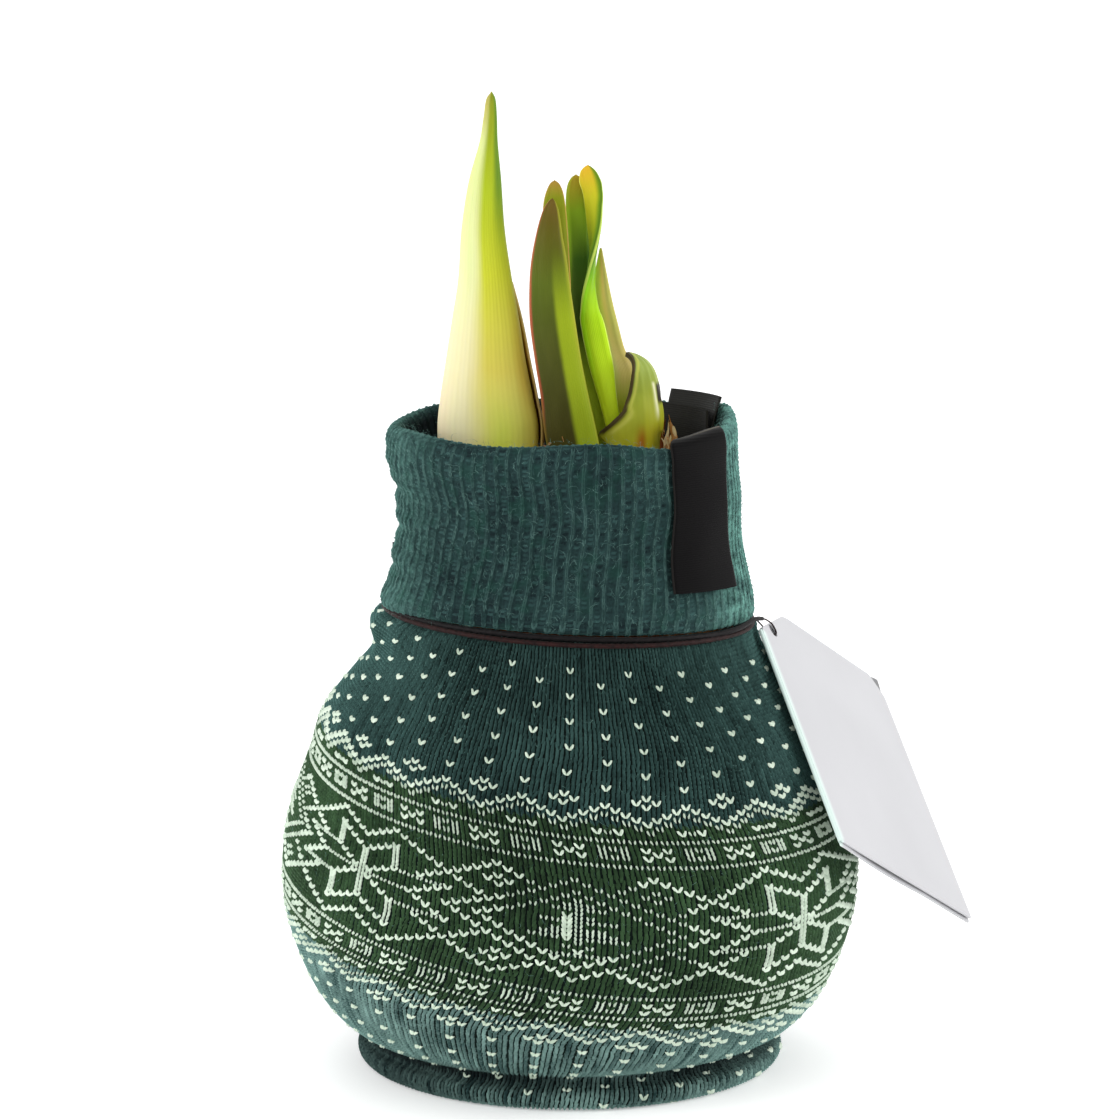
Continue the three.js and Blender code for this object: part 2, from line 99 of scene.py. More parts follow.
def curve(points, steps=8):
    """A smooth line through the points (centripetal Catmull-Rom), steps rows from each point to the next."""
    p = np.asarray(points, float)
    p = np.vstack([2 * p[0] - p[1], p, 2 * p[-1] - p[-2]])
    gap = np.sqrt(np.linalg.norm(np.diff(p, axis=0), axis=1))
    t = np.linspace(0, 1, steps, endpoint=False)[:, None]
    parts = []
    for i in range(1, len(p) - 2):
        (a, b, c, d), (g0, g1, g2) = p[i - 1:i + 3], gap[i - 1:i + 2]
        out = ((b - a) / g0 - (c - a) / (g0 + g1) + (c - b) / g1) * g1
        into = ((c - b) / g1 - (d - b) / (g1 + g2) + (d - c) / g2) * g1
        parts.append(b + out * t + (3 * (c - b) - 2 * out - into) * t**2 + (2 * (b - c) + out + into) * t**3)
    return np.vstack(parts + [p[-2:-1]])


def arc_length(line):
    return np.r_[0, np.cumsum(np.linalg.norm(np.diff(line, axis=0), axis=1))]


def on_line(place, arc, line):
    """Radius and height at a place along a line."""
    return np.interp(place, arc, line[:, 0]), np.interp(place, arc, line[:, 1])


def unit(vectors):
    return vectors / (np.linalg.norm(vectors, axis=-1, keepdims=True) + 1e-12)


def two_sided(columns, rim):
    """Places 0 to 1 across a thin strip and back, and its side: 0.5 before, -0.5 behind, less at the rims."""
    u, side = np.linspace(0, 1, columns), np.full(columns, 0.5)
    side[[0, -1]] *= rim
    return np.r_[u, u[::-1]], np.r_[side, -side]


def grid_faces(rows, columns, wrap=False):
    """Quads of a grid of vertices, row by row. A wrapped grid closes across its columns."""
    row = np.arange(rows - 1)[:, None] * columns
    column = np.arange(columns if wrap else columns - 1)[None, :]
    right, above = (column + 1) % columns, row + columns
    return np.stack([row + column, row + right, above + right, above + column], -1).reshape(-1, 4)


def each(values):
    """One value for each patch or stitch, to go with the grid of all its points."""
    return values[:, None, None, None]


def patches(count, rows, columns):
    """Quads of many grids of the same size, one after another in the vertex list."""
    first = np.arange(count)[:, None, None] * rows * columns
    return (grid_faces(rows, columns) + first).reshape(-1, 4)


def mesh_piece(name, points, faces, material, slot, values=None, node=None):
    """A smooth mesh that rides on the object, and stands for a CAD node where it names one.

    Points may be a grid of any shape. Values are numbers that each vertex carries to its material.
    """
    mesh = bpy.data.meshes.new(name)
    mesh.vertices.add(points.size // 3)
    mesh.vertices.foreach_set("co", (points * MM).astype(np.float32).ravel())
    mesh.loops.add(faces.size)
    mesh.loops.foreach_set("vertex_index", faces.astype(np.int32).ravel())
    mesh.polygons.add(len(faces))
    mesh.polygons.foreach_set("loop_start", np.arange(0, faces.size, faces.shape[1], dtype=np.int32))
    mesh.polygons.foreach_set("use_smooth", np.ones(len(faces), bool))
    for key, value in (values or {}).items():
        each = np.broadcast_to(value, points.shape[:-1]).astype(np.float32)
        mesh.attributes.new(key, "FLOAT", "POINT").data.foreach_set("value", each.ravel())
    mesh.update(calc_edges=True)
    mesh.validate()
    mesh.materials.append(material)
    piece = bpy.data.objects.new(name, mesh)
    bpy.context.scene.collection.objects.link(piece)
    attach(piece, "root")
    if node:
        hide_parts(node)
    return piece


def grid_piece(name, points, material, slot, values, node=None):
    """A mesh piece from a grid of points that closes across its columns."""
    mesh_piece(name, points, grid_faces(*points.shape[:2], wrap=True), material, slot, values, node)


def srgb(*color):
    """A colour given as 0 to 255 screen values, as the linear values that Blender takes."""
    return tuple(v / 255 / 12.92 if v <= 10 else ((v / 255 + 0.055) / 1.055) ** 2.4 for v in color)


class Nodes:
    """A short way to write a material's nodes. Colours are given as 0 to 255 screen values."""

    def __init__(self, name):
        self.material = bpy.data.materials.new(name)
        self.material.use_nodes = True
        self.tree = self.material.node_tree
        self.shader = self.tree.nodes["Principled BSDF"]

    def add(self, kind, links=None, **settings):
        node = self.tree.nodes.new("ShaderNode" + kind)
        for key, value in settings.items():
            setattr(node, key, value)
        for key, value in (links or {}).items():
            self.put(node.inputs[key], value)
        return node

    def put(self, socket, value):
        if isinstance(value, bpy.types.NodeSocket):
            self.tree.links.new(value, socket)
        else:
            socket.default_value = value

    def set(self, **values):
        for key, value in values.items():
            self.put(self.shader.inputs[key.replace("_", " ")], value)

    def place(self):
        return self.add("TexCoord").outputs["Object"]

    def value(self, key):
        return self.add("Attribute", attribute_name=key).outputs["Fac"]

    def noise(self, scale, detail=4.0, roughness=0.55, stretch=None):
        where = self.place()
        if stretch:
            where = self.add("Mapping", {"Vector": where, "Scale": stretch}).outputs["Vector"]
        inputs = {"Vector": where, "Scale": scale, "Detail": detail, "Roughness": roughness}
        return self.add("TexNoise", inputs).outputs["Fac"]

    def math(self, operation, a, b=0.0, c=0.0):
        return self.add("Math", {0: a, 1: b, 2: c}, operation=operation).outputs[0]

    def plus(self, a, b):
        return self.math("ADD", a, b)

    def times(self, a, b):
        return self.math("MULTIPLY", a, b)

    def span(self, value, low, high):
        """0 at low, 1 at high, smooth between, either way round."""
        links = {"Value": value, "From Min": low, "From Max": high}
        return self.add("MapRange", links, interpolation_type="SMOOTHSTEP").outputs["Result"]

    def ramp(self, fac, stops):
        node = self.add("ValToRGB", {"Fac": fac})
        elements = node.color_ramp.elements
        while len(elements) < len(stops):
            elements.new(0.5)
        for element, (position, color) in zip(elements, stops):
            element.position = position
            element.color = (*srgb(*color), 1)
        return node.outputs["Color"]

    def mix(self, fac, a, b):
        """Colour b laid over colour a by fac."""
        node = self.add("Mix", data_type="RGBA")
        for index, value in ((0, fac), (6, a), (7, b)):
            self.put(node.inputs[index], (*srgb(*value), 1) if isinstance(value, tuple) else value)
        return node.outputs[2]

    def bump(self, height, strength, distance):
        links = {"Height": height, "Strength": strength, "Distance": distance}
        self.put(self.shader.inputs["Normal"], self.add("Bump", links).outputs["Normal"])


# ---- The surface of the sleeve ----

STITCHES = 176
REPEAT = 44
CENTRE_ARC = 43.4          # from the cord's groove down to the middle row of the pattern, at the front
TIE_TILT = 0.047
TIE_RADIUS = 29.6
TIE_HEIGHT = 74.0

# Radius and height down the right side, from under the collar to under the rolled hem.
SLEEVE_LINE = [
    (29.3, 74.6), (29.6, 73.6), (30.3, 72.2), (31.2, 69.8), (33.7, 65), (37.4, 59), (41.2, 52.4),
    (44.2, 45.5), (46.0, 38.5), (46.6, 31), (45.7, 23.6), (43.6, 17.4), (41.9, 13.8), (39.8, 10.6),
    (37.2, 7.9), (35.2, 6.5), (33.3, 5.8), (32.0, 5.1), (31.9, 4.2), (32.8, 3.5), (34.0, 3.1), (34.5, 2.2),
    (34.0, 0.9), (32.6, 0.25), (30.8, 0.15), (28.0, 0.3),
]
GROOVE_AT = 2              # the point of that line where the arc is counted from
sleeve_curve = curve(SLEEVE_LINE, 12)
sleeve_arc = arc_length(sleeve_curve)
sleeve_arc -= sleeve_arc[GROOVE_AT * 12]
SLEEVE_END = sleeve_arc[-1]


def fullness(azimuth, height):
    """How much fuller the cloth stands than its line: on the left, at the shoulder and below the cord."""
    left = (1 - np.sin(azimuth)) / 2
    shoulder = left * 1.5 * bell(height - 57.5, 4.6)
    fold = 1.4 * bell(height - 71, 2.0) - 1.0 * bell(height - 66.6, 2.4)
    below_cord = beside(azimuth, -90, 0.7) * fold
    behind_tag = -0.4 * beside(azimuth, 90, 0.35) * bell(height - 71, 3.5)
    gathers = 0.16 * np.sin(17 * azimuth + 0.9 * np.sin(5 * azimuth)) * smooth_step(height, 60, 72)
    hem = 1.6 * beside(azimuth, -75, 0.75) * bell(height - 4.6, 1.1)
    return np.where(height > 72.6, 0, shoulder + below_cord + behind_tag) + gathers + hem


def sleeve_point(azimuth, arc):
    radius, height = on_line(arc, sleeve_arc, sleeve_curve)
    radius = radius + fullness(azimuth, height)
    x = radius * np.sin(azimuth)
    return np.stack([x, -radius * np.cos(azimuth), height - TIE_TILT * x * smooth_step(height, 52, 72)], -1)


# How the knit lies on it: its rows are tilted, lowest at the front right, and its columns twist and spread.
TILT_SIDE = math.radians(40)
ROW_AT = ([-90, -58, -31, -12, 0, 22, 31, 61, 90], [-56.5, -36, -20, -8, 0, 14, 20, 40.5, 60.5])
TILT_AT = ([0, 12, 24, 34, 44, 66], [2, 4.2, 6.6, 7, 8.6, 8])
TWIST_AT = ([0, 16, 26, 32, 40, 48, 56, 64, 84], [0, -0.3, -1.9, 0, 1.6, 1.3, -1.3, -7, -12])
SPREAD_AT = ([0, 12, 36, 50, 66], [0, 0.07, 0.06, 0.09, 0.19])
DRIFT_AT = ([0, 12, 24, 36, 50, 66], [0, -0.1, 0, 0.13, 0.1, 0.23])


def stitch_place(column, row):
    """Azimuth and arc of a place in the knit, counted in stitches from the middle of the pattern's tree."""
    straight = CENTRE_ARC - np.interp(row, *ROW_AT)
    turn = 2 * math.pi * column / STITCHES
    twist = np.radians(np.interp(straight, *TWIST_AT))
    spread, drift = np.interp(straight, *SPREAD_AT), np.interp(straight, *DRIFT_AT)
    azimuth = turn + twist + spread * np.sin(turn) + drift * (1 - np.cos(turn))
    tilt = np.interp(straight, *TILT_AT)
    return azimuth, straight + tilt * (np.sin(azimuth + TILT_SIDE) - math.sin(TILT_SIDE))


def knit_point(column, row, lift):
    """A point of the knit, lifted off the surface of the sleeve."""
    step = 0.05
    here = sleeve_point(*stitch_place(column, row))
    right = sleeve_point(*stitch_place(column + step, row)) - here
    up = sleeve_point(*stitch_place(column, row + step)) - here
    return here + unit(np.cross(right, up)) * lift[..., None]


# ---- The knitted pattern ----


def pattern(column, row):
    """Whether a stitch is white: tree, star and their frames, bands of crosses and boxes, zigzags, dots."""
    column = np.round(column).astype(int)
    row = np.round(row).astype(int)
    near = (column + REPEAT // 2) % REPEAT - REPEAT // 2        # from the tree's middle
    a = np.abs(near)
    b = REPEAT // 2 - a                                         # from the star's middle
    r = np.abs(row)
    eighth = (column % 8 + 4) % 8 - 4                           # from the nearest cross, valley or dot
    d = np.abs(eighth)
    white = np.zeros(np.broadcast(column, row).shape, bool)

    tier_width = {6: 1, 5: 2, 3: 1, 2: 3, 0: 2, -1: 3, -2: 4, -6: 2}
    for at, width in tier_width.items():
        white |= (row == at) & (a <= width)
    white |= (a == 0) & (row <= 7) & (row >= -6) & (row != -4)
    white |= (a == 1) & (row == -4)
    white |= (near == -1) & (row >= -2) & (row <= 3)

    white |= (a + r == 9) & (a <= 9)
    white |= (a + r == 12) & (a <= 12)
    white |= (a - r == 4) & (a >= 8) & (a <= 18)
    white |= (r - b == 10) & (b <= 4)
    white |= (a + r == 20) & (a >= 7) & (a <= 16)
    white |= (r - a == 6) & (a >= 3) & (a <= 7)
    white |= np.abs(a - 7) + np.abs(r - 9) == 1

    petal = 6
    steep = ((b == 0) & (r >= 1) & (r <= petal)) | ((b == 4) & (r >= 4) & (r <= 4 + petal))
    flat = ((r == 0) & (b >= 1) & (b <= petal)) | ((r == 4) & (b >= 4) & (b <= 4 + petal))
    slanted = (b <= 4) & ((r == b) | (r == b + petal)) | (r <= 4) & (b == r + petal)
    white |= steep | flat | slanted

    white |= (r == 16) | (r == 22)
    cross = (d <= 1) & (np.abs(r - 19) == d)
    box = (np.abs(d - 4) <= 1) & (np.abs(r - 19) <= 1) & ((d != 4) | (r != 19))
    white |= cross | box
    white |= (r == 24) & (d >= 3)
    white |= (r == 26 + d) | (r == 24 + d)
    white |= d + np.abs(r - 31) == 1
    dot = (r >= 33) & (r <= 61) & (((d == 4) & ((r - 34) % 6 == 0)) | ((d == 0) & ((r - 37) % 6 == 0)))
    return white | dot


TEAL_FROM = 26             # rows this far from the middle have the teal ground, the others the green one

# The legs of a stitch, at points from its foot to its top: out from its middle and half width in stitches,
# height in rows, and lift off the cloth in millimetres. A white stitch is a full V or, where it is pulled
# in between its neighbours, a pair of slim ticks.
PLAIN_LEG = np.array([(0.15, 0.10, -0.80, 0.02), (0.24, 0.175, 0.05, 0.36), (0.31, 0.12, 0.90, 0.02)])
WHITE_V = np.array([
    (0.06, 0.10, -0.66, 0.14), (0.18, 0.175, -0.2, 0.42), (0.30, 0.175, 0.3, 0.42), (0.39, 0.11, 0.74, 0.08),
])
WHITE_TICK = np.array([
    (0.20, 0.055, -0.52, 0.10), (0.22, 0.105, -0.2, 0.34), (0.25, 0.105, 0.18, 0.34), (0.27, 0.05, 0.5, 0.08),
])
ACROSS = np.array([-1.0, 0.0, 1.0])
BOTH_SIDES = np.array([-1.0, 1.0])
GROOVE_HEIGHT = 4.8        # of the deep fold between the belly and the rolled hem


def legs(column, row, stations, tall=1.0, lift=0.0):
    """The two slanting legs of each stitch, as small arched patches. Each stitch has its own stations."""
    out, half, up, high = (stations[..., i][:, None, :, None] for i in range(4))
    tall, lift = (each(np.broadcast_to(v, column.shape)) for v in (tall, lift))
    c = each(column) + BOTH_SIDES[:, None, None] * out + half * ACROSS
    r = each(row) + (up + 0.62) * tall - 0.62 + 0 * c
    h = high * (1 - 1.35 * ACROSS**2) + lift + 0 * c
    return knit_point(c, r, h), patches(2 * len(column), *c.shape[2:])


def in_sleeve(column, row):
    arc = stitch_place(column, row)[1]
    return (arc > -1.2) & (arc < SLEEVE_END - 1.5)


def yarn_material(name, dark, light, sheen, blot=None, painted_light=None):
    """Wool: fibres, slow clouds, and blots of another colour. Sheen is an amount and a colour.

    Values the mesh may carry: painted shade for folds and insides, and painted light for pale patches.
    """
    m = Nodes(name)
    fibres = m.noise(2600, 3, 0.7, stretch=(1, 1, 0.45))
    cloud = m.noise(55, 3, 0.6)
    tone = m.plus(m.times(fibres, 0.55), m.times(m.value("shade"), 0.6))
    tone = m.plus(tone, m.math("MULTIPLY_ADD", cloud, 0.7, -0.42))
    color = m.ramp(tone, [(0.2, dark), (0.95, light)])
    if blot:
        color = m.mix(m.times(m.span(m.noise(240, 3, 0.6), 0.5, 0.7), 0.7), color, blot)
    if painted_light:
        # Painted light: pale patches where the mesh's light value is high.
        painted_light_patches = m.times(m.value("painted_light"), m.span(m.noise(650, 4, 0.7), 0.3, 0.8))
        color = m.mix(painted_light_patches, color, painted_light)
    # Painted shade: the colour goes towards near-black, and the sheen fades, by the mesh's shade value.
    color = m.mix(m.times(m.value("painted_shade"), 0.9), color, (3, 7, 12))
    m.set(Base_Color=color, Roughness=0.95, Specular_IOR_Level=0.12)
    m.set(Sheen_Weight=m.math("MULTIPLY_ADD", m.value("painted_shade"), -sheen[0], sheen[0]), Sheen_Roughness=0.45)
    m.set(Sheen_Tint=(*srgb(*sheen[1]), 1))
    m.bump(fibres, 0.5, 0.00012)
    return m.material


TEAL = yarn_material("teal_yarn", (12, 28, 27), (62, 92, 88), (0.6, (150, 215, 205)))
# Painted light: a lighter copy of the teal yarn for the lower belly, for the light from the floor.
TEAL_LOW_LIT = yarn_material("teal_yarn_low_painted_light", (30, 52, 52), (128, 160, 153), (0.7, (175, 225, 215)))
GREEN = yarn_material("green_yarn", (19, 34, 20), (62, 92, 60), (0.4, (165, 210, 165)))
WHITE = yarn_material("white_yarn", (168, 186, 166), (230, 243, 226), (0.4, (225, 245, 230)))
# Painted shade: a near-black yarn for the cloth behind the stitches, standing for the shade in the gaps.
KNIT_GAP_SHADE = yarn_material("knit_ground_painted_shade", (5, 11, 10), (14, 26, 23), (0.15, (150, 215, 205)))


def streaks(column, row):
    """Light and dark runs along the knit's columns, one number for each leg of each stitch."""
    step = 7
    strength = rng.normal(0, 1, (2 * STITCHES, 200 // step + 3))
    place = (row + 90) / step
    low, part = np.floor(place).astype(int), (place % 1)[:, None]
    leg = (2 * column[:, None] + np.array([0, 1])).astype(int) % (2 * STITCHES)
    return strength[leg, low[:, None]] * (1 - part) + strength[leg, low[:, None] + 1] * part


def painted_fold_shade(azimuth, height):
    """Painted shade, 1 down in the fold above the rolled hem (closed in front) and on the hem's left."""
    shut = beside(azimuth, 8, 0.35)
    left = smooth_step(-np.sin(azimuth), 0.25, 0.8)
    return np.maximum(bell(height - GROOVE_HEIGHT, 1.6) * (1 - 0.7 * shut), 0.75 * left * (height < 4.6))


def fullness_of_white(column, row):
    """0 for slim ticks to 1 for a full V, and how tall. Rows, boxes, the tree and one zigzag are slim."""
    depth = np.abs(row)
    eighth = np.abs((column % 8 + 4) % 8 - 4)
    level = pattern(column - 1, row) & pattern(column + 1, row)
    upright = pattern(column, row - 1) & pattern(column, row + 1)
    near = (column + REPEAT // 2) % REPEAT - REPEAT // 2
    tree = (np.hypot((near - 1.5) / 8.5, (row - 4) / 9) < 1) | (np.hypot(near - 7, row + 6) < 4)
    box = (depth >= 18) & (depth <= 20) & (eighth >= 3)
    inner_zigzag = depth == 24 + eighth
    full = np.where(level | tree | box | inner_zigzag, 0.0, np.where(upright, 0.25, 0.9))
    full = np.where((depth == 26 + eighth) | (depth >= 30), 1.0, full)
    left_star = (depth < 14) & (column < -13) & (column > -37)
    full = np.where(left_star, 0.4 * full, full)
    bar = (near == -1) & (row >= -2) & (row <= 3)
    tall = np.where((upright & (depth < 24) & (near != 0) & ~left_star) | box | inner_zigzag, 1.35, 1.0)
    return np.where(bar, 0.8, full), np.where(bar, 1.3, tall)


def make_sleeve():
    rows = np.arange(-78, 74)
    column, row = (g.ravel().astype(float) for g in np.meshgrid(np.arange(STITCHES), rows))
    keep = in_sleeve(column, row)
    column, row = column[keep], row[keep]
    azimuth, arc = stitch_place(column, row)
    # Painted shade in the fold above the hem and on the hem's left.
    painted_shade = painted_fold_shade(azimuth, sleeve_point(azimuth, arc)[:, 2])
    white = pattern(column, row)
    teal = ~white & (np.abs(row) >= TEAL_FROM)
    contrast = 0.12 + 0.12 * (row < -30)
    shades = 0.45 + contrast[:, None] * streaks(column, row) + rng.normal(0, 0.08, (len(column), 2))
    jitter = rng.normal(0, 0.035, (2, len(column)))
    for name, where, material in (
        ("sleeve_teal_upper", teal & (row > 0), TEAL),
        ("sleeve_teal_lower", teal & (row < 0), TEAL_LOW_LIT),
        ("sleeve_green", ~white & ~teal, GREEN),
    ):
        count = np.count_nonzero(where)
        stations = np.broadcast_to(PLAIN_LEG, (count, *PLAIN_LEG.shape))
        points, faces = legs((column + jitter[0])[where], (row + jitter[1])[where], stations)
        values = {"shade": shades[where][..., None, None], "painted_shade": each(painted_shade[where])}
        mesh_piece(name, points, faces, material, "knit", values)
    c, r = column[white], row[white]
    full, tall = fullness_of_white(c, r)
    full = np.clip(full + rng.normal(0, 0.08, len(c)), 0, 1)
    stations = WHITE_TICK + (WHITE_V - WHITE_TICK) * full[:, None, None]
    tall = tall * rng.normal(1, 0.05, len(c))
    points, faces = legs(c, r, stations, tall, 0.04 + 0.10 * full)
    shade = 0.4 + 0.25 * full + rng.normal(0, 0.12, len(c))
    shade = shade - 0.25 * smooth_step(-c, 12, 30) * (np.abs(r) < 14)
    mesh_piece("sleeve_white", points, faces, WHITE, "knit", {"shade": each(shade)})


def make_sleeve_ground():
    """The cloth behind the stitches: a thin closed shell from under the collar to under the foot."""
    azimuth = turns(STITCHES)
    arc = np.r_[sleeve_arc[0], np.linspace(sleeve_arc[2], SLEEVE_END, 90)]
    grid = sleeve_point(azimuth[None, :], arc[:, None])
    radius = np.linalg.norm(grid[..., :2], axis=-1, keepdims=True)
    grid[..., :2] *= (radius - 0.22) / radius
    grid[..., 2] = np.maximum(grid[..., 2], 0.15)
    points = np.concatenate([grid, grid[-1:] * (0.02, 0.02, 1)])
    # Painted shade in the fold above the hem and on the hem's left.
    painted_shade = painted_fold_shade(np.arctan2(points[..., 0], -points[..., 1]), points[..., 2])
    faces = grid_faces(len(points), STITCHES, wrap=True)[:, ::-1]
    # The cloth behind the stitches is painted near-black, as the shade between them.
    mesh_piece("sleeve_ground", points, faces, KNIT_GAP_SHADE, "knit", {"shade": 0.5, "painted_shade": painted_shade}, "sleeve")


make_sleeve_ground()
make_sleeve()

# ---- The collar ----

RIBS = 88
RIB_ROW = 0.7
RIB_RELIEF = 0.34
COLLAR_FOOT, COLLAR_TOP = 74.9, 103.8
# Radius and height of the cloth between the ribs, from inside the foot up and over the rim.
COLLAR_LINE = [
    (28.2, 76.6), (28.5, 75.2), (28.95, 74.75), (29.35, 75.2), (29.35, 77.0), (28.7, 80), (28.0, 83.3),
    (27.5, 86), (27.3, 89), (27.35, 91.5), (27.6, 96), (27.95, 100), (28.0, 102), (27.6, 103.3),
    (26.7, 103.9), (25.9, 103.4), (25.45, 101.8), (25.3, 98), (25.3, 92), (25.3, 88),
]
collar_curve = curve(COLLAR_LINE, 12)
collar_arc = arc_length(collar_curve)
RIM_ARC = collar_arc[14 * 12]
FOOT_BAND = 4.6                    # arc of the smoother band along the collar's lower edge
RIM_LEFT_SWELL = -1.1
RIM_BACK_RISE = 1.8
RIM_LABEL_RISE = 2.2
LEAN = math.radians(5.6)           # the ribs turn this far to the right from the foot to the rim


def rim_wave(azimuth):
    """How far the rim rises: at the back and beside the rear label, with a dip left of the front label."""
    rise = RIM_BACK_RISE * ((1 - np.cos(azimuth)) / 2) ** 2
    rise = rise + RIM_LABEL_RISE * beside(azimuth, 103, 0.25)
    return rise - 0.9 * beside(azimuth, 38, 0.28)


def collar_point(azimuth, arc, lift=0.0):
    """A point of the collar: arc runs from inside the foot over the rim, and lift stands off the cloth."""
    radius, height = on_line(arc, collar_arc, collar_curve)
    (r0, z0), (r1, z1) = (on_line(arc + step, collar_arc, collar_curve) for step in (-0.1, 0.1))
    run, rise = r1 - r0, z1 - z0
    size = np.hypot(run, rise) + 1e-9
    radius, height = radius + lift * rise / size, height - lift * run / size
    left = beside(azimuth, -88, 0.62)
    folds = left * (0.26 * np.sin(height * 0.9 + 3 * azimuth) + 0.2 * np.sin(height * 1.9 + 2))
    cover = beside(azimuth, -78, 0.5) * (1 - smooth_step(height, 75.5, 79))
    uneven = 0.22 * np.sin(3 * azimuth + height * 0.13)
    uneven = uneven + 0.14 * np.sin(7 * azimuth + 1.5) * smooth_step(height, 96, 103)
    folds = folds * smooth_step(height, 75, 79) * (1 - smooth_step(height, 98, 102))
    radius = radius + folds + uneven + 1.2 * cover
    lean = LEAN * (height - 89) / (COLLAR_TOP - COLLAR_FOOT)
    sway = left * 0.028 * np.sin(height * 0.55 + 1.2) + 0.006 * np.sin(height * 0.5 + 9 * azimuth)
    azimuth = azimuth + lean + sway
    x = radius * np.sin(azimuth)
    drop = TIE_TILT * x * (1 - smooth_step(height, COLLAR_FOOT, COLLAR_TOP))
    swell = RIM_LEFT_SWELL * smooth_step(height, 92, 101)
    wave = 0.35 * np.sin(5 * azimuth + 0.6) * smooth_step(height, 99, 103.5)
    wave = wave + rim_wave(azimuth) * smooth_step(height, 96, 103.8) - 0.9 * cover
    return np.stack([x + swell, -radius * np.cos(azimuth), height - drop + wave], -1)


def rib_shape(phase):
    """Height of the cloth across one rib, from valley (0) to crest (1)."""
    return np.clip(np.cos(phase), 0, 1) ** 1.4


def rib_height(arc):
    """How high the ribs stand: less along the smooth foot and round the rim."""
    return RIB_RELIEF * (0.4 + 0.6 * smooth_step(arc, 3.5, 7)) * (1 - 0.75 * bell(arc - RIM_ARC, 2.6))


def collar_tones(azimuth, arc, shade):
    """Values for the collar: painted shade inside, and painted light with pale patches at the right."""
    right = np.sin(azimuth)
    rim_or_foot = bell(arc - RIM_ARC, 2.2) + (arc < FOOT_BAND)
    # Painted light: pale patches at the right, and fewer at the left.
    painted_light = smooth_step(right, 0.7, 0.97) + 0.35 * smooth_step(-right, 0.7, 0.97)
    return {
        "shade": shade + 0.25 * smooth_step(right, 0.2, 1) - 0.15 * rim_or_foot,
        "painted_shade": smooth_step(arc, RIM_ARC - 0.2, RIM_ARC + 2.6),
        "painted_light": painted_light * (arc < RIM_ARC + 0.5),
    }


def make_collar_ground():
    azimuth = turns(RIBS * 6)
    arc = np.linspace(0, collar_arc[-1], 70)[:, None]
    crest = rib_shape(RIBS * azimuth) + 0 * arc
    relief = (crest * rib_height(arc) - 0.1) * smooth_step(arc, 0.5, 3)
    points = collar_point(azimuth + 0 * arc, arc + 0 * azimuth, relief)
    # Painted highlight: the crests of the cloth are lighter.
    values = collar_tones(azimuth, arc, 0.25 + 0.25 * crest)
    grid_piece("collar_ground", points, RIB_SHADED, "rib", values, "collar")


def make_ribs():
    """Rib stitches: a column of V's on every crest, and the little crosswise bumps between the columns."""
    pitch = 2 * math.pi / RIBS
    rows = np.arange(1.2, collar_arc[-1] - 9, RIB_ROW)
    count = RIBS * len(rows)
    azimuth = each(np.tile(np.arange(RIBS) * pitch, len(rows)))
    arc = each(np.repeat(rows, RIBS) + rng.normal(0, 0.05, count))
    # The points of a leg, as for the sleeve: out in parts of a rib, up in rows, half width, and rise.
    out, up, half, high = np.array([
        (0.01, 0.055, 0.09), (-0.62, 0.05, 0.85), (0.045, 0.06, 0.035), (0.04, 0.22, 0.03),
    ])[..., None]
    wide = each(rng.normal(1, 0.12, count)) * (1 + 0.8 * (arc < FOOT_BAND))
    a = azimuth + (BOTH_SIDES[:, None, None] * out + half * ACROSS) * wide * pitch
    s = arc + up * RIB_ROW + 0 * a
    points = collar_point(a, s, rib_height(s) + high * (1 - 1.4 * ACROSS**2) - 0.1)
    values = collar_tones(azimuth, arc, each(rng.uniform(0.1, 0.75, count)))
    mesh_piece("collar_ribs", points, patches(2 * count, 3, 3), RIB_LIT, "rib", values)

    bump = 0.14 * (1 - 1.3 * ACROSS**2) * (ACROSS == 0)[:, None]
    a = azimuth + (0.5 + 0.36 * ACROSS) * pitch + 0 * bump
    s = arc + (0.3 * ACROSS[:, None] - 0.16 * (1 - ACROSS**2)) * RIB_ROW
    points = collar_point(a, s, bump - 0.08 + 0 * a)
    values = collar_tones(azimuth, arc, each(rng.uniform(0, 0.75, count)))
    mesh_piece("collar_purls", points, patches(count, 3, 3), RIB_SHADED, "rib", values)


# Painted light: the mint of the pale patches on the collar.
PAINTED_LIGHT_MINT = (112, 164, 152)
# One rib yarn in two copies: a darker one for the valleys and bumps as painted shade, a lighter one for the
# crest stitches as painted highlight.
RIB_SHADED = yarn_material(
    "rib_valley_painted_shade", (14, 27, 30), (54, 84, 82), (0.35, (140, 205, 195)), (26, 56, 50), PAINTED_LIGHT_MINT
)
RIB_LIT = yarn_material(
    "rib_crest_painted_highlight", (27, 47, 47), (72, 102, 98), (0.45, (155, 215, 205)), (36, 70, 62), PAINTED_LIGHT_MINT
)
make_collar_ground()
make_ribs()

# ---- Loose wool ----


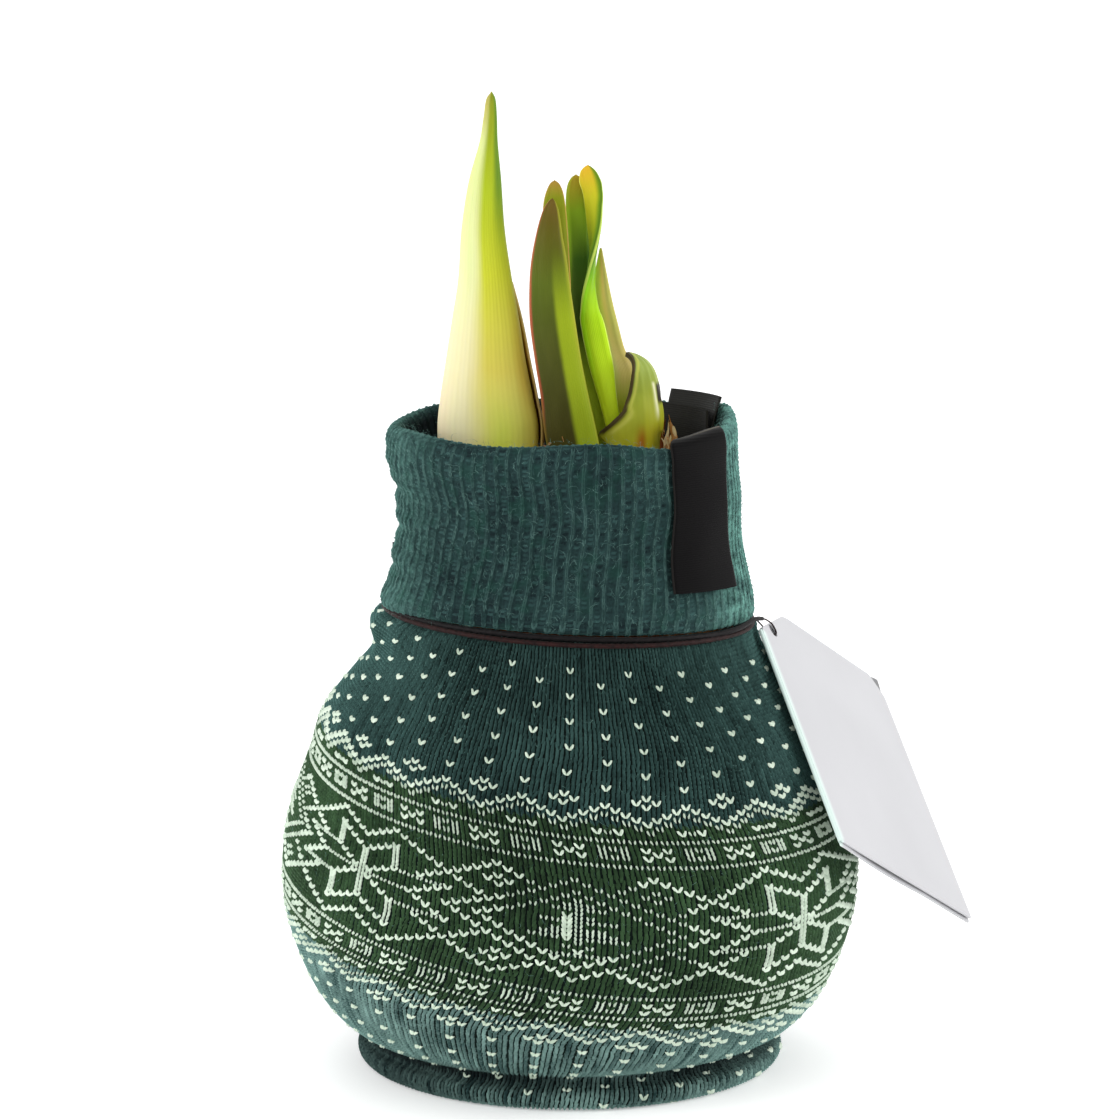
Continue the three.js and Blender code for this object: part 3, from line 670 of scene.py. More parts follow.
def make_fuzz(name, place, count, length, material, slot):
    """Fine loose fibres on a surface: place gives a point for two random numbers and a lift."""
    width, lift, step = 0.036, 0.12, 1e-3
    a, b = rng.random((2, count))
    size = length * rng.uniform(0.4, 1.3, count)
    turn = rng.normal(math.pi / 2, 0.75, count)
    bend = rng.normal(0, 0.9, count)
    steps = np.linspace(0, 1, 4)
    here = place(a, b, lift)
    east = unit(place(a + step, b, lift) - here)
    out = unit(np.cross(east, place(a, b + step, lift) - here))
    north = np.cross(out, east)
    heading = turn[:, None] + bend[:, None] * steps * 1.6
    run = size[:, None] * steps
    rise = (rng.uniform(0.1, 0.75, count) * size)[:, None] * np.sin(math.pi * 0.75 * steps) * 0.55
    east, north, out = east[:, None], north[:, None], out[:, None]
    cos, sin = np.cos(heading)[..., None], np.sin(heading)[..., None]
    line = here[:, None] + (east * cos + north * sin) * run[..., None] + out * rise[..., None]
    aside = north * cos - east * sin + out * rng.uniform(-1, 1, count)[:, None, None]
    half = width * (1 - 0.7 * steps)[:, None] / 2
    points = np.stack([line - aside * half, line + aside * half], 2)
    shade = rng.random(count)[:, None, None]
    mesh_piece(name, points, patches(count, 4, 2), material, slot, {"shade": shade})


def sleeve_skin(a, b, lift):
    azimuth, arc = a * 2 * math.pi, b * (SLEEVE_END - 3)
    point = sleeve_point(azimuth, arc)
    point[..., :2] *= 1 + lift * 3 / np.linalg.norm(point[..., :2], axis=-1, keepdims=True)
    return point


def collar_skin(a, b, lift):
    return collar_point(a * 2 * math.pi, 1.5 + b * (collar_arc[-1] - 12), lift + RIB_RELIEF)


FUZZ = yarn_material("loose_wool", (40, 70, 68), (118, 156, 148), (0.5, (190, 240, 225)))
make_fuzz("sleeve_fuzz", sleeve_skin, 4600, 1.8, FUZZ, "knit")
make_fuzz("collar_fuzz", collar_skin, 5600, 1.3, FUZZ, "rib")

# ---- The cord ----

TUBE_SIDES = 12
STRAND_RADIUS = 0.37
THREAD_RADIUS = 0.13
KNOT_AT = 150                      # degrees


def tube(path, radius, relief=None):
    """A round tube along a path, with round ends and no twist. relief(turn, run) adds to the radius."""
    forward = unit(np.gradient(path, axis=0))
    side = np.cross(forward[0], (0.3, 0.2, 0.93))
    sides = []
    for heading in forward:
        side = unit(side - heading * np.dot(side, heading))
        sides.append(side)
    sides = np.array(sides)
    up = np.cross(forward, sides)
    turn = turns(TUBE_SIDES)
    run = arc_length(path)
    size = np.broadcast_to(radius, (len(path),))[:, None] + (relief(turn, run[:, None]) if relief else 0)
    taper = np.minimum(1, np.sqrt(np.minimum(run, run[-1] - run) / (0.6 * np.max(radius)) + 0.02))
    ring = sides[:, None] * np.cos(turn)[:, None] + up[:, None] * np.sin(turn)[:, None]
    points = path[:, None] + ring * (size * taper[:, None])[..., None]
    return points, grid_faces(len(path), TUBE_SIDES, wrap=True), {}


def joined(parts):
    """Parts given as points, faces and values, as one of them all."""
    starts = np.cumsum([0] + [points.size // 3 for points, _, _ in parts])
    faces = np.vstack([faces + start for (_, faces, _), start in zip(parts, starts)])
    values = {}
    for key in parts[0][2]:
        each_part = [np.broadcast_to(own[key], points.shape[:-1]).ravel() for points, _, own in parts]
        values[key] = np.concatenate(each_part)
    return np.vstack([points.reshape(-1, 3) for points, _, _ in parts]), faces, values


def outward(degrees):
    """The directions out of and along a ring round the axis, at an azimuth."""
    x, y = math.sin(math.radians(degrees)), -math.cos(math.radians(degrees))
    return np.array([x, y, 0]), np.array([-y, x, 0])


def on_tie(degrees, out=0.0, up=0.0):
    x, y, _ = (TIE_RADIUS + out) * outward(degrees)[0]
    return np.array([x, y, TIE_HEIGHT - TIE_TILT * x + up])


TAG_CORNER = np.array([28.47, -2.6, 77.37])
TAG_ACROSS = unit(np.array([0.5113, 0.7338, -0.4473]))
TAG_DOWN = np.array([0.2823, -0.635, -0.719])
TAG_DOWN = unit(TAG_DOWN - TAG_ACROSS * np.dot(TAG_DOWN, TAG_ACROSS))
TAG_FACE = np.cross(TAG_DOWN, TAG_ACROSS)
TAG_SIZE, TAG_LEAF, FOLD_DEPTH, TAG_OPENING = 47.5, 0.28, 0.65, math.radians(0.3)
NIB_ACROSS, NIB_DOWN = 3.6, 3.4    # the front leaf's far upper corner is cut by this much
HOLE_ACROSS, HOLE_DOWN, HOLE_RADIUS = 5.2, 5.8, 1.15


def on_tag(across, down, out):
    parts = [np.asarray(v, float)[..., None] for v in np.broadcast_arrays(across, down, out)]
    return TAG_CORNER + parts[0] * TAG_ACROSS + parts[1] * TAG_DOWN + parts[2] * TAG_FACE


def braid(turn, run):
    one, other = np.sin(3 * turn + 3.4 * run), np.sin(3 * turn - 3.4 * run)
    return 0.05 * np.maximum(one, other) - 0.02


def strand(out, up):
    """One of the two strands round the neck. They lie apart in front and close together at the sides."""
    points = []
    for degrees in range(KNOT_AT - 360, KNOT_AT + 1, 10):
        angle = math.radians(degrees)
        apart = 0.45 + 0.55 * max(0, math.cos(angle)) ** 2
        under_tag = 0.5 * float(beside(angle, 90, 0.35))
        points.append(on_tie(degrees, out - under_tag, up * apart))
    return curve(points, 18)


def cord_material(name, dark, light):
    m = Nodes(name)
    weave = m.noise(1800, 2, 0.6)
    m.set(Base_Color=m.ramp(weave, [(0.3, dark), (0.75, light)]), Roughness=0.6)
    m.set(Specular_IOR_Level=0.12, Sheen_Weight=0.04, Sheen_Roughness=0.4)
    m.bump(weave, 0.3, 0.0001)
    return m.material


def make_cord():
    centre = on_tie(KNOT_AT, 0.75)
    out, side = outward(KNOT_AT)
    knot = np.array([
        centre + side * (0.95 * math.sin(2 * t)) + out * (0.55 * math.cos(3 * t)) + (0, 0, 0.85 * math.cos(t))
        for t in np.linspace(0, 2 * math.pi, 60)
    ])
    # The tails' points, after the first, in the knot: degrees past it, out from the tie and up.
    tails = [
        [(4, 1.6, -0.4), (8, 2.4, -2.2), (9, 3.6, -5.2)],
        [(-4, 1.7, -0.6), (-7, 2.6, -2.6), (-10, 4.0, -4.6)],
    ]
    upper = [tube(strand(0.2, 0.35), STRAND_RADIUS, braid), tube(knot, 0.5, braid)]
    for tail in tails:
        line = [on_tie(KNOT_AT, 0.6)] + [on_tie(KNOT_AT + past, out, up) for past, out, up in tail]
        upper.append(tube(curve(line, 14), 0.5, braid))
    hole = [(-2.3, -0.9, 0.45), (-0.3, -0.7, 0.4), (0.75, 0.35, 0.05), (0.4, 0.2, -0.8), (0.4, -2.4, -1.7)]
    through = [on_tag(HOLE_ACROSS + across, HOLE_DOWN + down, lift) for across, down, lift in hole]
    thread = curve([on_tag(0.4, 5.6, 0.6), *through, on_tie(104, 0.1)], 22)
    pull = curve([on_tie(46, 0.1), (26.2, -15.3, 73.3), on_tag(-1.8, 6.5, 0.4), on_tag(1.6, 5.1, 0.4)], 22)
    upper.append(tube(pull, np.linspace(0.45, 0.3, len(pull)), braid))
    lower = [tube(strand(0.5, -0.62), STRAND_RADIUS, braid), tube(thread, THREAD_RADIUS)]
    black = cord_material("cord_black", (4, 3, 4), (20, 16, 17))
    brown = cord_material("cord_brown", (16, 7, 7), (46, 21, 19))
    for name, parts, material, node in (
        ("cord_braid", upper, black, "cord"), ("cord_lower", lower, brown, None),
    ):
        points, faces, values = joined(parts)
        mesh_piece(name, points, faces, material, "cord", values, node)


make_cord()

# ---- Labels ----

LABEL_THICKNESS = 0.45
LABEL_WIDTH = 13.6


def collar_radius(height):
    return np.interp(height, [74.9, 80, 86, 91.5, 101.5], [29.6, 28.8, 27.7, 27.6, 28.3])


def label_strip(line, width, middle, ripple, lean=0.0, waist=0.0, inner_turn=0.0, spread=0.0, flare=0.0):
    """A woven strip that follows radius and height points, as a closed grid with rounded edges.

    Its middle is at an azimuth, which leans to the right by its end and is turned by inner_turn inside the
    collar. The waist pinches its right edge, spread and flare draw its left edge out, and ripple waves it.
    """
    path = curve(line, 9)
    run = arc_length(path)[:, None]
    v = run / run[-1]
    radius, height = (column[:, None] for column in path.T)
    outwards, upwards = (column[:, None] for column in unit(np.gradient(path, axis=0)).T)
    u, face = two_sided(34, 0.35)
    stand = radius - LABEL_THICKNESS * face * upwards
    waves = np.sin(9 * u + 5 * v) * 0.4 + np.sin(3.2 * u - 7 * v)
    stand = stand + ripple * waves * smooth_step(v, 0.45, 0.9) + flare * (1 - u) * smooth_step(v, 0.6, 1)
    pinch = waist * bell(v - 0.66, 0.2) * u
    turned = middle + lean * v + inner_turn * (1 - smooth_step(v, 0.2, 0.36))
    turned = turned - spread * (1 - u) * smooth_step(v, 0.4, 1)
    angle = np.radians(turned) + (width * (u - 0.5) - pinch) / radius
    x = stand * np.sin(angle) + RIM_LEFT_SWELL * smooth_step(height, 92, 101)
    lift = LABEL_THICKNESS * face * outwards
    drop = TIE_TILT * x * (1 - smooth_step(height, COLLAR_FOOT, COLLAR_TOP))
    drop = drop - np.minimum(rim_wave(angle), 0) * smooth_step(height, 96, 103.8)
    points = np.stack([x, -stand * np.cos(angle), height + lift - drop], -1)
    return points, {"across": u, "along": v, "crest": 0}


def label_material(name, dark, light, shine):
    m = Nodes(name)
    wave = {"Vector": m.place(), "Scale": 900.0, "Distortion": 0.4, "Detail": 1.0}
    threads = m.add("TexWave", wave, bands_direction="Z").outputs["Fac"]
    soft = m.noise(120, 3, 0.6)
    tone = m.plus(m.times(threads, 0.25), m.times(soft, 0.75))
    color = m.ramp(tone, [(0.25, dark), (0.8, light)])
    edge = m.math("GREATER_THAN", m.math("ABSOLUTE", m.math("SUBTRACT", m.value("across"), 0.5)), 0.482)
    color = m.mix(m.times(edge, 0.5), color, (40, 38, 36))
    # Painted highlight where the mesh's crest value is high.
    color = m.mix(m.value("crest"), color, (176, 164, 138))
    m.set(Base_Color=color, Roughness=0.6, Specular_IOR_Level=shine)
    m.set(Sheen_Weight=shine / 5, Sheen_Roughness=0.3)
    m.bump(threads, 0.25, 0.00008)
    return m.material


# Two copies of one black woven label: the one inside the collar is painted lighter and shinier, as painted
# light where the collar shades it.
LABEL = label_material("satin_weave", (3, 2, 3), (9, 8, 8), 0.05)
LABEL_INSIDE_LIT = label_material("satin_weave_inside_painted_light", (13, 13, 11), (34, 34, 30), 0.2)


def make_labels():
    over_rim = [(24.8, 96), (24.9, 101.5), (25.1, 104.1), (26.8, 104.8), (28.6, 104.2), (29.2, 101.8)]
    proud = RIB_RELIEF + 0.7
    hanging = [(collar_radius(z) + proud, z) for z in (98, 94, 90, 86.5, 83.5, 81.1)]
    points, values = label_strip(
        over_rim + hanging, LABEL_WIDTH, 48.3, 0.12, lean=0.7, waist=1.3, inner_turn=11, spread=2.8
    )
    # Painted highlight: a thin pale line along the fold over the rim, stronger to the right.
    values["crest"] = bell(values["along"] - 0.285, 0.006) * 0.3 * values["across"]
    grid_piece("front_label_weave", points, LABEL, "label", values, "front_label")
    behind = [(24.7, 95), (24.6, 99), (24.7, 103), (24.9, 105.5), (25.4, 107.9)]
    before = [(24, 95), (23.9, 99), (23.9, 103), (24, 105.7)]
    points, values = label_strip(behind, 15, 118.4, 0.05, flare=0.8)
    grid_piece("rear_label_weave", points, LABEL_INSIDE_LIT, "label", values, "rear_label")
    points, values = label_strip(before, 15.4, 119.6, 0.05)
    grid_piece("rear_label_fold", points, LABEL_INSIDE_LIT, "label", values)


def make_seam_tab():
    """The end of the seam: a little folded tab of label cloth that stands out on the left."""
    out, side = outward(253)
    reach, leaf = two_sided(12, 1)
    row = np.linspace(-1, 1, 9)[:, None]
    across = 0.68 * leaf * np.sqrt(np.clip(1 - reach**4, 0, 1)) + 0.15 * np.sin(3 * reach + row)
    root = out * 28.1 + (0, 0, 82.6)
    points = root + (2.3 * reach)[:, None] * out + across[..., None] * side + row[..., None] * (0, 0, 1.0)
    grid_piece("seam_tab_weave", points, LABEL, "label", {"across": 0.5, "along": 0, "crest": 0}, "seam_tab")


make_labels()
make_seam_tab()

# ---- The hang tag ----


def inside_polygon(points, polygon):
    x, y = points[:, 0][:, None], points[:, 1][:, None]
    (x0, y0), (x1, y1) = polygon.T, np.roll(polygon, -1, axis=0).T
    crosses = (y0 > y) != (y1 > y)
    with np.errstate(divide="ignore", invalid="ignore"):
        at = (x1 - x0) * (y - y0) / (y1 - y0) + x0
    return (np.sum(crosses & (x < at), axis=1) % 2).astype(bool)


def rounded_outline(corners, radius):
    """A polygon with each corner rounded by its own radius."""
    corners, out = np.asarray(corners, float), []
    for i, corner in enumerate(corners):
        start, end = (corner + radius[i] * unit(corners[j] - corner) for j in (i - 1, (i + 1) % len(corners)))
        t = np.linspace(0, 1, 8)[:, None]
        out.append((1 - t) ** 2 * start + 2 * t * (1 - t) * corner + t**2 * end)
    return np.vstack(out)


def densified(outline, spacing):
    parts = []
    for a, b in zip(outline, np.roll(outline, -1, axis=0)):
        count = max(1, int(np.linalg.norm(b - a) / spacing))
        parts.append(a + (b - a) * np.arange(count)[:, None] / count)
    return np.vstack(parts)


def card_leaf(place, far_corner, corner_painted_shade):
    """One leaf of the card, cut out of a fine grid. place gives the front of a point (across, down)."""
    start = 0.55
    corners = [(12.5, 0), *far_corner, (TAG_SIZE, TAG_SIZE), (start, TAG_SIZE), (start, 6.9)]
    radii = [2, *[0.7 / len(far_corner)] * len(far_corner), 0.7, 0.1, 1.2]
    outline = densified(rounded_outline(corners, radii), 0.8)
    turn = turns(40)
    hole = np.stack([HOLE_ACROSS + HOLE_RADIUS * np.cos(turn), HOLE_DOWN + HOLE_RADIUS * np.sin(turn)], -1)
    columns, rows = (np.arange(first, TAG_SIZE, 1.15) for first in (0.9, 0.6))
    grid = np.stack(np.meshgrid(columns, rows), -1).reshape(-1, 2)
    margin = np.min(np.linalg.norm(grid[:, None] - outline[None], axis=-1), axis=1) > 0.6
    near_hole = np.linalg.norm(grid - (HOLE_ACROSS, HOLE_DOWN), axis=1) < HOLE_RADIUS + 0.4
    inner = grid[margin & inside_polygon(grid, outline) & ~near_hole]
    flat = np.vstack([outline, hole, inner])
    rings = [np.arange(len(outline)), len(outline) + np.arange(len(hole))]
    edges = [(int(i), int(j)) for ring in rings for i, j in zip(ring, np.roll(ring, -1))]
    found = delaunay_2d_cdt([Vector(p) for p in flat], edges, [], 0, 1e-5)
    flat, triangles = np.array(found[0]), np.array([f for f in found[2] if len(f) == 3])
    middle = flat[triangles].mean(axis=1)
    triangles = triangles[inside_polygon(middle, outline) & ~inside_polygon(middle, hole)]
    n = len(flat)
    walls = []
    for i in rings:
        j = np.roll(i, -1)
        walls += [np.stack([i, j, j + n], -1), np.stack([i, j + n, i + n], -1)]
    points = np.vstack([place(flat[:, 0], flat[:, 1], out) for out in (0.0, -TAG_LEAF)])
    faces = np.vstack([triangles, triangles[:, ::-1] + n] + walls)
    values = {
        # 0 on the strip along the fold, which takes the painted reflection.
        "clear_of_painted_reflection": np.tile(smooth_step(flat[:, 0], 0.6, 0.8), 2),
        # Painted shade on the back leaf's far upper corner.
        "corner_painted_shade": np.tile(bell(np.hypot(flat[:, 0] - TAG_SIZE, flat[:, 1]), 5.0), 2) * corner_painted_shade,
    }
    return points, faces, values


def front_leaf(across, down, out):
    """The front leaf, nearly flat."""
    belly = 0.35 * np.sin(math.pi * across / TAG_SIZE) * np.sin(math.pi * down / TAG_SIZE)
    return on_tag(across, down, out + belly)


def back_leaf(across, down, out):
    """The back leaf, which gapes a little along the lower edge near the fold."""
    opening = math.tan(TAG_OPENING) * across
    bulge = 0.3 * np.sin(math.pi * np.clip((across - 3) / 27, 0, 1)) * smooth_step(down, 25, TAG_SIZE)
    bulge = bulge - (FOLD_DEPTH - 2 * TAG_LEAF + 0.2) * bell(np.hypot(across - TAG_SIZE, down), 4)
    return on_tag(across, down + 0.5 * down / TAG_SIZE, out - FOLD_DEPTH + TAG_LEAF - opening - bulge)


def make_tag():
    half = FOLD_DEPTH / 2
    turn = np.linspace(math.pi / 2, 3 * math.pi / 2, 14)
    down = np.linspace(7.4, TAG_SIZE, 60)[:, None]
    outer, inner = (
        on_tag(half + 0.05 + radius * np.cos(turn), down, -half + radius * np.sin(turn))
        for radius in (half, half - TAG_LEAF)
    )
    fold = np.concatenate([outer, inner[:, ::-1]], axis=1)
    cut_corner = [(TAG_SIZE - NIB_ACROSS, 0), (TAG_SIZE, NIB_DOWN)]
    ear = [(TAG_SIZE - 4.5, 0), (TAG_SIZE + 0.8, -0.7), (TAG_SIZE, 4.5)]
    parts = [card_leaf(front_leaf, cut_corner, 0), card_leaf(back_leaf, ear, 1)]
    quads = grid_faces(len(down), 2 * len(turn), wrap=True)
    triangles = np.vstack([quads[:, [0, 1, 2]], quads[:, [0, 2, 3]]])
    parts.append((fold, triangles, {"clear_of_painted_reflection": 0.0, "corner_painted_shade": 0.0}))
    points, faces, values = joined(parts)
    m = Nodes("coated_card")
    fibres = m.noise(900, 3, 0.6)
    soft = m.noise(40, 2, 0.5)
    grey = m.mix(soft, (172, 172, 175), (188, 188, 191))
    # Painted reflection: the rounded fold and the strip beside it take a mint tint from the green wool; the
    # rest is grey card.
    color = m.mix(m.value("clear_of_painted_reflection"), (208, 226, 220), grey)
    color = m.mix(m.times(fibres, 0.12), color, (166, 166, 170))
    # Painted shade on the back leaf's far upper corner, where it shows past the cut front corner.
    color = m.mix(m.value("corner_painted_shade"), color, (96, 96, 98))
    m.set(Base_Color=color, Roughness=0.42, Specular_IOR_Level=0.4, Coat_Weight=0.15, Coat_Roughness=0.3)
    m.bump(fibres, 0.12, 0.00008)
    card = mesh_piece("tag_card", points, faces, m.material, "card", values, "tag")
    # Sharp rims keep their flat shading.
    chosen = {"object": card, "active_object": card, "selected_objects": [card]}
    with bpy.context.temp_override(**chosen, selected_editable_objects=[card]):
        bpy.ops.object.shade_smooth_by_angle(angle=math.radians(40))


make_tag()

# ---- Shoots and leaves ----

SHOOT_FOOT = 94.3
FLOWER_SHOOT = [
    (SHOOT_FOOT, -13.1, 7.6, -3, 4.8, 0, 0), (104, -13.1, 8.1, -3, 5.1, 0, 0),
    (108.3, -13.3, 7.5, -3, 4.9, 0, 0), (114.8, -13.45, 6.35, -3, 4.3, 0, 0),
    (121.2, -13.45, 5.35, -3, 3.8, 0, 0), (127.5, -13.5, 4.3, -3, 3.2, 0, 0),
    (135.5, -13.8, 3.45, -3, 2.6, 0, 0), (143.4, -13.45, 2.55, -3, 2, 0, 0),
    (149.7, -12.85, 1.4, -3, 1.2, 0, 0), (153.5, -12.6, 1.05, -3, 0.9, 0, 0),
    (156.2, -12.5, 0.7, -3, 0.6, 0, 0), (157.2, -12.4, 0.12, -3, 0.12, 0, 0),
]
# Each station of a leaf: height, x, half width, y, half thickness, turn in degrees, hollow.
LEAF_1 = [
    (SHOOT_FOOT, 1.9, 4.2, -7.6, 1.1, 0, -0.5), (104.1, 0, 4.15, -7.6, 1.1, 0, -0.5),
    (109, -0.8, 3.85, -7.6, 1.0, 0, -0.5), (115.2, -1.9, 3.7, -7.6, 0.95, 0, -0.5),
    (121.6, -2.8, 3.6, -7.6, 0.9, 0, -0.4), (127.9, -3.26, 3.15, -7.5, 0.8, 0, -0.4),
    (131.1, -3.32, 2.8, -7.4, 0.75, 0, -0.4), (134.2, -3.32, 2.25, -7.3, 0.7, 0, -0.3),
    (137.4, -3.17, 1.62, -7.1, 0.6, 0, -0.1), (139.2, -3.02, 1.1, -7, 0.5, 0, 0),
    (140.3, -2.88, 0.5, -7, 0.4, 0, 0), (140.7, -2.8, 0.08, -7, 0.08, 0, 0),
]
LEAF_2 = [
    (SHOOT_FOOT, 0.7, 2.4, -5, 0.7, 0, -0.3), (102, 0.4, 2.4, -5, 0.7, 0, -0.3),
    (110, -0.6, 2.4, -5, 0.7, 0, -0.3), (120, -1.7, 2.2, -5, 0.65, 0, -0.3),
    (129, -2.1, 2.1, -4.9, 0.6, 0, -0.3), (135, -2.35, 2.0, -4.7, 0.55, 0, -0.2),
    (140, -2.5, 1.7, -4.6, 0.5, 0, 0), (142, -2.45, 1.2, -4.6, 0.45, 0, 0),
    (143, -2.45, 0.65, -4.6, 0.35, 0, 0), (143.4, -2.45, 0.08, -4.6, 0.08, 0, 0),
]
LEAF_3 = [
    (SHOOT_FOOT, 4.6, 2.3, -0.3, 0.7, 0, -0.2), (102, 4.3, 2.3, -0.3, 0.7, 0, -0.2),
    (110, 3.2, 2.3, -0.3, 0.65, 0, -0.2), (119, 2.1, 2.1, -0.4, 0.6, 0, -0.2),
    (127, 1.6, 1.8, -0.6, 0.5, 0, -0.2), (133.8, 1.4, 1.7, -0.8, 0.5, 0, -0.2),
    (140.1, 1.0, 1.7, -1.0, 0.45, 0, 0), (142.7, 1.0, 1.35, -1.0, 0.4, 0, 0),
    (143.7, 0.95, 0.7, -1.0, 0.3, 0, 0), (144.1, 0.94, 0.08, -1.0, 0.08, 0, 0),
]
LEAF_4 = [
    (SHOOT_FOOT, 8.6, 1.3, -2.9, 0.6, 0, -0.2), (102.7, 7.3, 1.3, -2.9, 0.6, 0, -0.2),
    (107.2, 6.3, 1.4, -2.9, 0.6, 0, -0.2), (110.1, 5.7, 1.65, -2.9, 0.65, 0, -0.2),
    (113.3, 5.1, 1.95, -2.9, 0.65, 0, -0.2), (116.5, 4.4, 2.0, -2.9, 0.65, 0, -0.2),
    (119.7, 3.75, 1.95, -2.9, 0.65, 0, -0.1), (122.9, 3.15, 1.55, -2.9, 0.6, 20, 0),
    (126, 3.05, 1.4, -2.9, 0.6, 48, 0), (129.2, 3.4, 1.35, -2.9, 0.55, 74, 0),
    (132.4, 3.7, 1.5, -2.9, 0.55, 104, 0), (135.9, 3.83, 1.5, -2.9, 0.5, 132, 0),
    (139, 3.75, 1.5, -2.8, 0.5, 158, 0), (141.6, 3.55, 1.65, -2.7, 0.5, 176, 0),
    (143.4, 3.14, 1.72, -2.6, 0.45, 180, 0), (144.7, 2.9, 1.25, -2.6, 0.4, 180, 0),
    (145.4, 2.82, 0.6, -2.6, 0.3, 180, 0), (145.7, 2.82, 0.08, -2.6, 0.08, 180, 0),
]
LEAF_5 = [
    (SHOOT_FOOT, 7.6, 3.2, 3.4, 0.8, 0, 0.2), (102, 7.6, 3.3, 3.4, 0.8, 0, 0.2),
    (108, 7.6, 3.3, 3.4, 0.75, 0, 0.2), (112, 7.6, 3.1, 3.5, 0.7, 0, 0.1),
    (114, 7.2, 2.75, 3.6, 0.68, 0, 0.1), (115.6, 6.7, 2.25, 3.7, 0.65, 0, 0),
    (119.7, 5.9, 1.9, 3.9, 0.6, 0, 0), (123.7, 5.2, 1.6, 4.1, 0.5, 0, 0),
    (128.6, 4.95, 0.85, 4.2, 0.4, 0, 0), (132, 4.95, 0.2, 4.2, 0.2, 0, 0),
]


def margin_of(across, low, high):
    return smooth_step(np.abs(across), low, high)


def make_blade(name, stations, material, slot, node, squareness=0.8, veins=13, relief=0.05, columns=44):
    """An upright blade or shoot, swept through its stations, with fine lengthwise veins."""
    path = curve(stations, 12)
    z, x, half, y, thick, turn, hollow = (path[:, i][:, None] for i in range(7))
    half, thick = np.maximum(half, 0.02), np.maximum(thick, 0.02)
    phi = turns(columns)
    c, s = np.cos(phi), np.sin(phi)
    across = half * c
    vein = relief * np.cos(veins * math.pi * c + 1.3 * np.sin(0.09 * z)) * np.minimum(1, thick / 0.5)
    wave = 0.06 * np.sin(0.55 * z + 2.0 * c)
    lift = (thick + vein) * np.sign(s) * np.abs(s) ** squareness - hollow * c**2 + wave
    cos, sin = np.cos(np.radians(turn)), np.sin(np.radians(turn))
    points = np.stack([x + across * cos - lift * sin, y + across * sin + lift * cos, z + 0 * across], -1)
    tip = points[-1:].mean(axis=1, keepdims=True) + (0, 0, 0.12)
    points = np.concatenate([points, np.broadcast_to(tip, points[-1:].shape)])
    foot, top = stations[0][0], stations[-1][0]
    along = np.clip((points[..., 2] - foot) / (top - foot), 0, 1)
    values = {"across": c, "along": along, "margin": margin_of(c, 0.90, 0.995)}
    grid_piece(name, points, material, slot, values, node)


def plant_material(name, along, tints=(), margin=None, veins=(26, 0.06), gloss=0.42, mottle=0.12, spots=()):
    """Living tissue: a gradient from foot to tip, then tints laid over parts of it, margins and veins.

    A tint is (colour, amount, across from, across to, along from, along to): it grows over both spans. A
    spot is the name of a value that the mesh carries, and its colour.
    """
    m = Nodes(name)
    height, across = m.value("along"), m.value("across")
    soft = m.noise(160, 3, 0.6, stretch=(1, 1, 0.35))
    uneven = m.math("MULTIPLY_ADD", soft, 0.08, -0.04)
    color = m.ramp(m.plus(height, uneven), along)
    for tint, amount, a0, a1, l0, l1 in tints:
        sideways = m.span(m.plus(across, m.times(uneven, 2.5)), a0, a1)
        upwards = m.span(m.plus(height, uneven), l0, l1)
        color = m.mix(m.times(m.times(sideways, upwards), amount), color, tint)
    if margin:
        color = m.mix(m.times(m.value("margin"), margin[1]), color, margin[0])
    lines = m.math("SINE", m.times(across, veins[0] * math.pi))
    streaks = m.noise(700, 2, 0.6, stretch=(1, 1, 0.05))
    vein = m.times(m.math("MULTIPLY_ADD", lines, 0.35, streaks), veins[1] * 2)
    color = m.mix(vein, color, m.mix(0.5, color, (39, 48, 0)))
    color = m.mix(m.times(soft, mottle), color, m.mix(0.5, color, (255, 243, 137)))
    for key, spot in spots:
        color = m.mix(m.value(key), color, spot)
    m.set(Base_Color=color, Roughness=gloss, Specular_IOR_Level=0.08)
    m.set(Subsurface_Weight=0.08, Subsurface_Radius=(0.6, 0.8, 0.1), Subsurface_Scale=0.0012)
    m.bump(m.math("MULTIPLY_ADD", lines, 0.3, streaks), 0.25, 0.00012)
    return m.material


SHOOT_SKIN = plant_material(
    "shoot_skin",
    [(0.0, (204, 208, 78)), (0.14, (214, 212, 116)), (0.30, (200, 188, 80)), (0.55, (182, 188, 34)),
     (0.75, (154, 174, 14)), (1.0, (122, 134, 10))],
    tints=[
        ((220, 214, 182), 0.8, 0.05, -0.55, 0.92, 0.62), ((202, 212, 146), 0.85, 0.0, -0.6, 0.35, 0.6),
        ((222, 204, 176), 0.6, -0.62, -1.0, 0.72, 0.4), ((190, 212, 50), 0.7, -0.2, 0.3, 0.3, 0.1),
        ((124, 148, 4), 0.6, 0.35, 0.9, 0.45, 0.7), ((68, 114, 2), 0.95, 0.4, 0.8, 0.6, 0.8),
        ((180, 142, 30), 0.6, 0.62, 0.98, 0.55, 0.3), ((150, 132, 22), 0.7, 0.1, -0.6, 0.86, 0.98),
        ((214, 200, 96), 0.5, 0.3, 0.7, 0.3, 0.1),
    ],
    veins=(18, 0.04), gloss=0.55, mottle=0.2,
)
RED_VALVE = plant_material(
    "red_valve",
    [(0.0, (90, 72, 20)), (0.3, (130, 80, 16)), (0.7, (158, 112, 16)), (1.0, (166, 140, 24))],
    margin=((216, 190, 120), 0.9), veins=(14, 0.10),
)
